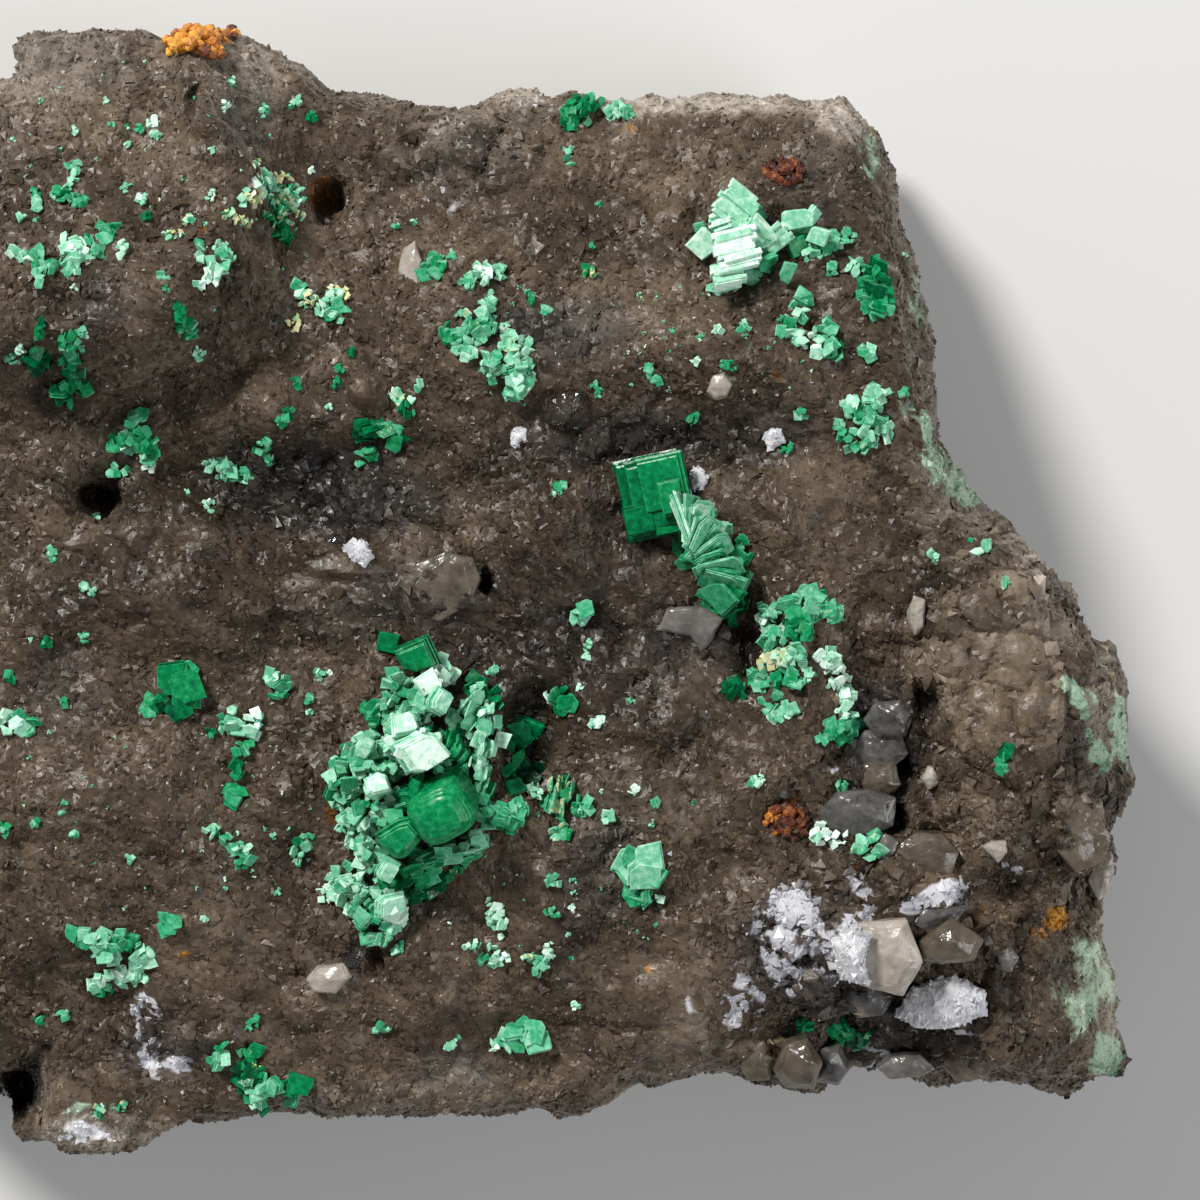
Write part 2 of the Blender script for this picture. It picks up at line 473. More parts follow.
def put_attribute(mesh, name, values):
    layer = mesh.attributes.new(name, "FLOAT", "POINT")
    layer.data.foreach_set("value", np.asarray(values, np.float32))


def vertex_array(mesh):
    coords = np.empty(len(mesh.vertices) * 3, np.float32)
    mesh.vertices.foreach_get("co", coords)
    return coords.reshape(-1, 3).astype(float)


def normal_array(mesh):
    mesh.update()
    normals = np.empty(len(mesh.vertices) * 3, np.float32)
    mesh.vertex_normals.foreach_get("vector", normals)
    return normals.reshape(-1, 3).astype(float)


# The rock

ROCK_VOXEL = 0.14             # mm
ROCK_SMOOTHING = 24           # rounds
ROCK_TRIANGLES = 190000
THIN_BELOW = 9.0              # mm, level under which the rock keeps fewer and fewer of its faces
THIN_SPAN = 3.0               # mm under that level where it keeps the fewest
THIN_STEPS = 10
ROCK_ROUGHNESS = [(1.3, 0.28), (0.5, 0.13)]   # size and height of its bumps, in mm
MOSAIC_SIZE = 1.1                             # mm, size of the grains that the quartz has grown in
MOSAIC_RELIEF = (0.1, 0.42)                   # mm that they bulge, where fine and where coarse
ROCK_GRAIN = 0.018                            # mm that its facets are roughened
ROCK_CALM = 0.75                              # share of the roughness that a smooth zone takes away
FOOT_HEIGHT = 1.0                             # mm above the floor over which the roughness sets in
RIM_START = 0.6                               # share of the way out where fitting the outline begins

# The outline of the stone in the photograph, and the middle that it is moved from
OUTLINE_MIDDLE = (560, 600)
OUTLINE = [
    (0, 38), (45, 30), (90, 32), (130, 26), (165, 34), (200, 28), (238, 32), (270, 46), (300, 60), (318, 85),
    (360, 91), (405, 103), (450, 105), (495, 99), (520, 90), (560, 96), (630, 102), (690, 96), (765, 94),
    (810, 103), (855, 101), (871, 122), (892, 165), (898, 210), (916, 258), (921, 300), (930, 350),
    (937, 400), (940, 440), (965, 480), (1009, 525), (1056, 570), (1084, 615), (1117, 660), (1127, 705),
    (1129, 750), (1125, 795), (1112, 840), (1112, 880), (1100, 905), (1104, 935), (1116, 975), (1119, 1020),
    (1125, 1070), (1085, 1085), (1035, 1097), (990, 1076), (945, 1088), (900, 1080), (855, 1064),
    (830, 1086), (800, 1092), (765, 1081), (720, 1074), (675, 1076), (630, 1084), (590, 1108), (540, 1112),
    (450, 1118), (360, 1114), (270, 1114), (180, 1121), (150, 1148), (90, 1158), (45, 1143), (0, 1125),
]


def evaluated(source):
    """The mesh of an object with its modifiers applied."""
    bpy.context.view_layer.update()
    graph = bpy.context.evaluated_depsgraph_get()
    return bpy.data.meshes.new_from_object(source.evaluated_get(graph))


def fine_blank():
    """The matrix solid in small even faces, with the corners of its coarse ones rounded."""
    source = bpy.data.objects.new("rock_blank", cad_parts["matrix"].data.copy())
    bpy.context.scene.collection.objects.link(source)
    remesh = source.modifiers.new("remesh", "REMESH")
    remesh.mode = "VOXEL"
    remesh.voxel_size = ROCK_VOXEL * MM
    smooth = source.modifiers.new("smooth", "SMOOTH")
    smooth.factor = 0.5
    smooth.iterations = ROCK_SMOOTHING
    mesh = evaluated(source)
    bpy.data.objects.remove(source)
    return mesh


def fit_outline(points):
    """Moves the rock's rim in or out so that its outline from above is the photograph's."""
    places = photo_places(points)
    middle = np.array(OUTLINE_MIDDLE)
    offset = places - middle
    reach = np.hypot(offset[:, 0], offset[:, 1])
    heading = np.degrees(np.arctan2(offset[:, 1], offset[:, 0])) % 360
    rim = np.zeros(360)
    np.maximum.at(rim, heading.astype(int) % 360, reach)
    rim = (rim + np.roll(rim, 1) + np.roll(rim, -1)) / 3
    wanted = rim.copy()
    corners = np.array(OUTLINE) - middle
    for degree in range(360):
        aim = np.array([math.cos(math.radians(degree + 0.5)), math.sin(math.radians(degree + 0.5))])
        for start, end in zip(corners, corners[1:]):
            edge = end - start
            turn = aim[0] * edge[1] - aim[1] * edge[0]
            if abs(turn) < 1e-9:
                continue
            share = (aim[1] * start[0] - aim[0] * start[1]) / turn
            far = (start[0] * edge[1] - start[1] * edge[0]) / turn
            if 0 <= share <= 1 and far > 0:
                wanted[degree] = far
    change = wanted / rim
    change = (change * 2 + np.roll(change, 1) + np.roll(change, -1)) / 4
    around = np.arange(361)
    factor = np.interp(heading - 0.5, around, np.append(change, change[0]))
    edge = np.interp(heading - 0.5, around, np.append(rim, rim[0]))
    near_rim = eased(np.clip((reach / edge - RIM_START) / (1 - RIM_START), 0, 1))
    moved = middle + offset * (1 + (factor - 1) * near_rim)[:, None]
    result = points.copy()
    result[:, :2] = level_places(moved, points[:, 2])
    return result


def side_paleness(normals):
    """The broken sides are pale beige where they face outward."""
    return 0.75 * np.clip((0.6 - normals[:, 2]) / 0.5, 0, 1)


def blobs(points, size):
    """Smooth noise of about -1 to 1 at points, whose blobs are size mm across."""
    scale = 1 / (size * MM)
    return np.array([noise.noise(Vector(p) * scale) for p in points])


GLINT_FROST = 1.4
FILM_FULL_FROM = 6            # mm, level under which the film fades
TONE = 0.43                   # how light the quartz is where nothing changes it


def mark_quartz(mesh, points, normals, tones, repeat=1, glints=None):
    """Stores the marks of the druse at each vertex, or at each crystal for its repeat vertices."""
    places = photo_places(points + wandering(points, 0.5, 0.22))
    facing = np.clip((normals[:, 2] + 0.25) * 2.5, 0, 1)
    put_attribute(mesh, "tone", np.repeat(tones, repeat))
    ragged = 1 + 0.7 * blobs(points, 0.5) + 0.8 * blobs(points, 0.16)
    for kind in ("shade", "cool", "pale", "frost", "rust", "film"):
        amount = mark_strength(kind, places) * facing
        if kind in ("rust", "film"):
            amount = amount * ragged
        if kind == "frost":
            amount = amount * (1 + 1.9 * (ragged - 1))
        if kind == "film":
            low = np.clip(points[:, 2] / (FILM_FULL_FROM * MM), 0.2, 1)
            amount = amount * (1 + 0.7 * blobs(points, 1.6)) * low
        if kind == "pale":
            amount = np.maximum(amount, side_paleness(normals))
        if kind == "frost" and glints is not None:
            amount = np.where(glints, GLINT_FROST, amount)
        put_attribute(mesh, kind, np.repeat(amount, repeat))


class Mosaic(NamedTuple):
    """How points lie in the grains of quartz: 1 inside and 0 at a seam, and a tone of -0.5 to 0.5 a grain."""

    inside: np.ndarray
    bulge: np.ndarray
    tone: np.ndarray


def mosaic(points):
    """The grains of quartz that points lie in."""
    inside, bulge, tone = [], [], []
    for point in points:
        place = Vector(point) / (MOSAIC_SIZE * MM)
        gaps, middles = noise.voronoi(place + noise.noise_vector(place * 2) * 0.15)
        inside.append(min((gaps[1] - gaps[0]) * 4, 1))
        bulge.append(1 - gaps[0])
        tone.append(noise.cell(middles[0] * 7.3) - 0.5)
    return Mosaic(np.array(inside), np.array(bulge), np.array(tone))


def quartz_tones(points, normals):
    """How light the quartz is, from about 0 to 1."""
    places = photo_places(points)
    tones = TONE + 0.12 * blobs(points, 2.4) + 0.12 * blobs(points, 0.5)
    for row in LIGHTNESS:
        tones += zone_strength(row, places)
    cells = mosaic(points)
    weight = 0.35 + 0.65 * mark_strength("coarse", places)
    tones += (0.18 * cells.tone - 0.1 * (1 - cells.inside)) * weight
    return tones + 0.1 * np.clip(0.6 - normals[:, 2], 0, 1)


def thinned(mesh, levels):
    """The rock's mesh with fewer faces, above all where its level is low."""
    blank = bpy.data.objects.new("rock_blank", mesh)
    bpy.context.scene.collection.objects.link(blank)
    weights = blank.vertex_groups.new(name="low")
    low = np.clip((THIN_BELOW * MM - levels) / (THIN_SPAN * MM), 0.0, 1.0)
    for step in range(1, THIN_STEPS + 1):
        chosen = np.nonzero(np.ceil(low * THIN_STEPS) == step)[0]
        weights.add([int(i) for i in chosen], step / THIN_STEPS, "REPLACE")
    thin = blank.modifiers.new("thin", "DECIMATE")
    thin.ratio = ROCK_TRIANGLES / sum(len(p.vertices) - 2 for p in mesh.polygons)
    thin.vertex_group = weights.name
    thin.vertex_group_factor = 1.0
    result = evaluated(blank)
    bpy.data.objects.remove(blank)
    return result


def make_rock():
    """The fine blank with the photograph's outline, dips, bumps and grains, toned and marked."""
    mesh = fine_blank()
    points = fit_outline(vertex_array(mesh))
    normals = normal_array(mesh)
    facing = np.clip(normals[:, 2:3] * 1.6, 0, 1)
    places = photo_places(points)
    for row in DIPS:
        points[:, 2] -= zone_strength(row, places) * MM * facing[:, 0]
    calm = 1 - ROCK_CALM * mark_strength("smooth", places)[:, None] * facing
    resting = np.clip(points[:, 2:3] / (FOOT_HEIGHT * MM), 0, 1)
    for size, height in ROCK_ROUGHNESS:
        points += wandering(points, size, height) * calm * resting
    cells = mosaic(points)
    fine, coarse = MOSAIC_RELIEF
    relief = fine + (coarse - fine) * mark_strength("coarse", places)
    bulge = (cells.bulge - 0.6) * 0.8 - 0.35 * (1 - cells.inside)
    points += normals * (bulge * relief * MM)[:, None] * resting
    draw = np.random.default_rng(3)
    points += draw.normal(0, ROCK_GRAIN * MM, points.shape) * calm * resting
    points[:, 2] = np.maximum(points[:, 2], 0)
    mesh.vertices.foreach_set("co", points.astype(np.float32).ravel())
    mesh.update()
    mesh = thinned(mesh, points[:, 2])
    mesh.name = "rock"
    points = vertex_array(mesh)
    normals = normal_array(mesh)
    tones = quartz_tones(points, normals) + draw.normal(0, 0.03, len(points))
    mark_quartz(mesh, points, normals, tones)
    mesh.shade_flat()
    rock = link("rock", mesh, DRUSE)
    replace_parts(rock, "matrix")
    return rock


ROCK = make_rock()
ROCK_TREE = BVHTree.FromPolygons([v.co for v in ROCK.data.vertices],
                                 [tuple(p.vertices) for p in ROCK.data.polygons])


def seat(px, py):
    """The point and normal of the rock that shows at a pixel, or its nearest point where none does."""
    target = VIEW_CENTRE + Vector(((px - HALF_FRAME) * PIXEL, (HALF_FRAME - py) * PIXEL, FOCUS_LEVEL))
    spot, normal, _, _ = ROCK_TREE.ray_cast(EYE, (target - EYE).normalized())
    if spot is None:
        spot, normal, _, _ = ROCK_TREE.find_nearest(target)
    return spot, normal


# The druse's small quartz points

GRAINS_PER_MM2 = 50
SIDE_GRAINS_PER_MM2 = 8
MOST_IN_A_PIECE = 20000
GRAIN_RADIUS = 0.08          # mm, in the middle of the range
GRAIN_RANGE = (0.035, 0.24)  # mm
GRAIN_SIDES = 4
CRYSTAL_SIDES = 6
GLINT_SHARE = 0.012


def scatter(draw, mesh, density):
    """Random points on a mesh and their normals. density gives how many a square mm from place and normal."""
    corners = []
    for polygon in mesh.polygons:
        v = polygon.vertices
        corners += [(v[0], v[i], v[i + 1]) for i in range(1, len(v) - 1)]
    corners = np.array(corners)
    points = vertex_array(mesh)
    a, b, c = (points[corners[:, i]] for i in range(3))
    cross = np.cross(b - a, c - a)
    doubled = np.linalg.norm(cross, axis=1)
    normal = cross / np.maximum(doubled, 1e-20)[:, None]
    count = draw.poisson(doubled / 2 / MM ** 2 * density((a + b + c) / 3, normal))
    chosen = np.repeat(np.arange(len(count)), count)
    u, v = draw.random((2, len(chosen), 1))
    flip = u + v > 1
    u, v = np.where(flip, 1 - u, u), np.where(flip, 1 - v, v)
    return a[chosen] + (b - a)[chosen] * u + (c - a)[chosen] * v, normal[chosen]


def druse_density(middle, normal):
    """Dense on top, thin on the sides, and none underneath, at the foot or where it is quite smooth."""
    density = np.where(normal[:, 2] > 0.25, GRAINS_PER_MM2, SIDE_GRAINS_PER_MM2)
    density = np.where((normal[:, 2] < -0.3) | (middle[:, 2] < 0.4 * MM), 0, density)
    return density * (1 - 0.85 * np.clip(mark_strength("smooth", photo_places(middle)), 0, 1))


def unit_rows(rows):
    return rows / np.maximum(np.linalg.norm(rows, axis=1), 1e-12)[:, None]


def grain_shapes(draw, spots, normals, radius, sides=GRAIN_SIDES):
    """Corners of lopsided quartz points, each half sunk in the rock along its own leaning axis."""
    count = len(spots)
    axis = unit_rows(normals + 0.45 * draw.normal(size=(count, 3)))
    aside = unit_rows(np.cross(axis, draw.normal(size=(count, 3))))
    third = np.cross(axis, aside)
    angles = np.arange(sides) * math.tau / sides + draw.normal(0, 0.2, (count, sides))
    reach = draw.uniform(0.75, 1.25, (count, sides))
    tip = draw.uniform(-0.45, 0.45, (count, 2))
    tall = draw.uniform(0.2, 0.75, count)
    x = np.column_stack([reach * np.cos(angles), tip[:, 0]])
    y = np.column_stack([reach * np.sin(angles), tip[:, 1]])
    z = np.column_stack([np.full((count, sides), -0.4), tall])
    corners = x[..., None] * aside[:, None] + y[..., None] * third[:, None] + z[..., None] * axis[:, None]
    return spots[:, None] + corners * radius[:, None, None]


def grain_mesh(name, corners):
    """A mesh of quartz points: their corners, a ring and a tip each."""
    sides = corners.shape[1] - 1
    ring = range(sides)
    loops = [corner for i in ring for corner in (i, (i + 1) % sides, sides)] + list(reversed(ring))
    sizes = [3] * sides + [sides]
    count = len(corners)
    all_loops = (np.array(loops)[None] + (sides + 1) * np.arange(count)[:, None]).ravel()
    mesh = array_mesh(name, corners.reshape(-1, 3), all_loops, np.tile(sizes, count))
    mesh.shade_flat()
    return mesh


def make_druse_grains():
    """The druse's sugar of small quartz points, coarser in some places, with a few white glints."""
    draw = np.random.default_rng(7)
    spots, normals = scatter(draw, ROCK.data, druse_density)
    order = np.argsort(spots[:, 0])
    spots, normals = spots[order], normals[order]
    pieces = math.ceil(len(spots) / MOST_IN_A_PIECE)
    for number, chosen in enumerate(np.array_split(np.arange(len(spots)), pieces)):
        here, facing = spots[chosen], normals[chosen]
        count = len(chosen)
        coarse = 1 + 0.55 * blobs(here, 3.0)
        radius = draw.lognormal(math.log(GRAIN_RADIUS), 0.35, count) * coarse
        radius = np.clip(radius, *GRAIN_RANGE) * MM
        glints = draw.random(count) < GLINT_SHARE
        radius = np.where(glints, radius * 0.5, radius)
        mesh = grain_mesh(f"druse_grains_{number + 1}", grain_shapes(draw, here, facing, radius))
        tones = quartz_tones(here, facing) + draw.normal(0.01, 0.055, count)
        mark_quartz(mesh, here, facing, tones, GRAIN_SIDES + 1, glints)
        link(mesh.name, mesh, DRUSE)


COARSE_PER_MM2 = 4.5
COARSE_RADIUS = 0.19          # mm, in the middle of the range
COARSE_RANGE = (0.1, 0.25)    # mm


def make_coarse_crystals():
    """Larger quartz crystals, half sunk, where the druse is coarse."""
    draw = np.random.default_rng(19)

    def density(middle, normal):
        places = photo_places(middle)
        strength = mark_strength("coarse", places) * np.clip(1 - 2 * mark_strength("film", places), 0, 1)
        return np.where(normal[:, 2] > 0.3, COARSE_PER_MM2 * strength, 0)

    spots, normals = scatter(draw, ROCK.data, density)
    count = len(spots)
    radius = np.clip(draw.lognormal(math.log(COARSE_RADIUS), 0.35, count), *COARSE_RANGE) * MM
    mesh = grain_mesh("coarse_crystals", grain_shapes(draw, spots, normals, radius, CRYSTAL_SIDES))
    tones = quartz_tones(spots, normals) + draw.normal(0.04, 0.08, count)
    mark_quartz(mesh, spots, normals, tones, CRYSTAL_SIDES + 1)
    link(mesh.name, mesh, DRUSE)


make_druse_grains()
make_coarse_crystals()


# Torbernite plates

RIM_PALENESS = 0.16      # how much paler a plate is along its upper edge
PLATE_RINGS = ((-0.5, 0.97), (0.36, 1.0), (0.5, 0.94))   # level and size, as shares of the plate's
SQUARE = [(-0.5, -0.5), (0.5, -0.5), (0.5, 0.5), (-0.5, 0.5)]


class Slabs:
    """Collects plates and joins them in one mesh, with a pale and a crust mark for each."""

    def __init__(self):
        self.coords, self.loops, self.sizes, self.pale, self.crust = [], [], [], [], []
        self.rounded = []      # numbers of the faces that are shaded smooth

    def add(self, middle, turn, length, width, thickness, pale, crust=0.0, outline=SQUARE):
        """Adds a plate whose upper edge is chamfered. Lengths are in metres, and turn is a 3 by 3 matrix."""
        first = len(self.coords)
        for level, share in PLATE_RINGS:
            for x, y in outline:
                corner = Vector((x * length * share, y * width * share, level * thickness))
                self.coords.append(middle + turn @ corner)
        count = len(outline)
        self.join(first, len(PLATE_RINGS), count)
        self.pale += [pale] * count + [pale + RIM_PALENESS] * count + [pale] * count
        self.crust += [crust] * (len(PLATE_RINGS) * count)

    def join(self, first, rings, count):
        """Adds the faces between rings of count corners each, and those that close the ends."""
        for low in range(first, first + (rings - 1) * count, count):
            for i in range(count):
                after = (i + 1) % count
                self.loops += [low + i, low + after, low + count + after, low + count + i]
                self.sizes.append(4)
        self.loops += [first + i for i in reversed(range(count))]
        self.loops += [first + (rings - 1) * count + i for i in range(count)]
        self.sizes += [count, count]

    def finish(self, name, node=None):
        """Makes the piece, and has it stand for the node if there is one."""
        mesh = array_mesh(name, self.coords, self.loops, self.sizes)
        mesh.shade_flat()
        for number in self.rounded:
            mesh.polygons[number].use_smooth = True
        put_attribute(mesh, "pale", self.pale)
        put_attribute(mesh, "crust", self.crust)
        made = link(name, mesh, TORBERNITE)
        if node:
            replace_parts(made, node)


def worn_square(draw):
    """A square's lopsided outline with some corners broken off, about the origin."""
    outline = []
    for x, y in SQUARE:
        x += draw.uniform(-0.11, 0.11)
        y += draw.uniform(-0.11, 0.11)
        if draw.random() < 0.4:
            cut = draw.uniform(0.2, 0.6)
            first, second = (x * (1 - cut), y), (x, y * (1 - cut))
            outline += [second, first] if x * y < 0 else [first, second]
        else:
            outline.append((x, y))
    middle = (sum(p[0] for p in outline) / len(outline), sum(p[1] for p in outline) / len(outline))
    outline.sort(key=lambda p: math.atan2(p[1] - middle[1], p[0] - middle[0]))
    return outline


def ragged_flake(draw):
    """A flake's lopsided outline of four to six corners, about the origin."""
    corners = draw.choice((4, 5, 5, 6))
    narrow = draw.uniform(0.5, 1.0)
    outline = []
    for i in range(corners):
        angle = (i + draw.uniform(-0.3, 0.3)) * math.tau / corners
        reach = draw.uniform(0.4, 0.68)
        outline.append((reach * math.cos(angle), reach * math.sin(angle) * narrow))
    return outline


def add_book(slabs, draw, middle, turn, side, thickness, pale, crust):
    """One to three plates stacked with small shifts, as torbernite grows."""
    layers = draw.choice((1, 2, 2, 3))
    outline = worn_square(draw) if draw.random() < 0.5 else ragged_flake(draw)
    length = side * draw.uniform(0.85, 1.15)
    for layer in range(layers):
        shift = Vector((draw.uniform(-0.08, 0.08) * side, draw.uniform(-0.08, 0.08) * side,
                        ((layer + 0.5) / layers - 0.5) * thickness))
        share = 1 - 0.12 * layer * draw.random()
        slabs.add(middle + turn @ shift, turn, length * share, side * share, thickness / layers * 1.15,
                  pale + draw.uniform(-0.05, 0.05) + 0.05 * layer, crust, outline)


class Patch(NamedTuple):
    """A tuft of plates in an ellipse of the photograph. Sizes are in mm and angles in degrees."""

    px: float
    py: float
    half_length: float
    half_width: float
    turn: float
    plates: int
    side: float
    pale: float
    crust: float = 0.0
    mound: float = 0.15        # height of the pile in the middle
    tilt: float = 55.0         # steepest tilt of a plate
    thick: float = 0.2         # thickness of a plate as a share of its side
    strike: float = None       # heading of the plates' edges, or any


GAP_LEVEL = -0.16           # below this level of the noise a tuft has a gap
FEWEST_WITH_GAPS = 7        # plates of a tuft
GOLDEN_ANGLE = 2.399963     # radians, spreads the plates evenly


def grow(slabs, draw, row):
    """Lays the plates of the patch of a row on the rock, in more floors where the pile is high."""
    patch = Patch(*row)
    turn = math.radians(patch.turn)
    for number in range(patch.plates):
        out = math.sqrt((number + 0.5) / patch.plates)
        angle = number * GOLDEN_ANGLE + draw.uniform(-0.3, 0.3)
        along = out * math.cos(angle) * patch.half_length
        aside = out * math.sin(angle) * patch.half_width
        px = patch.px + (along * math.cos(turn) - aside * math.sin(turn)) * MM / PIXEL
        py = patch.py - (along * math.sin(turn) + aside * math.cos(turn)) * MM / PIXEL
        spot, normal = seat(px, py)
        if noise.noise(spot / (0.22 * MM)) < GAP_LEVEL and patch.plates >= FEWEST_WITH_GAPS:
            continue
        up = (normal * 0.35 + UP * 0.65).normalized()
        side = patch.side * draw.uniform(0.65, 1.25)
        height = patch.mound * (1 - out * out) * draw.uniform(0.7, 1.1) + side * draw.uniform(0.05, 0.3)
        floors = 1 + int(height / (0.75 * side))
        for floor in range(floors):
            level = height * (floor + 1) / floors
            tilt = math.radians(patch.tilt) * draw.uniform(0.15, 1)
            if patch.strike is None:
                heading = draw.uniform(0, math.tau)
            else:
                heading = math.radians(patch.strike + draw.uniform(-14, 14))
            facing = Euler((tilt * draw.choice((-1, 1)), 0, heading)).to_matrix()
            drift = 0.3 * noise.noise(spot / (0.6 * MM))
            pale = patch.pale + drift + draw.uniform(-0.07, 0.07) - 0.1 * (floors - 1 - floor)
            crust = patch.crust * draw.uniform(0.4, 1.3)
            add_book(slabs, draw, spot + up * level * MM, facing, side * MM,
                     side * patch.thick * draw.uniform(0.7, 1.3) * MM, pale, crust)


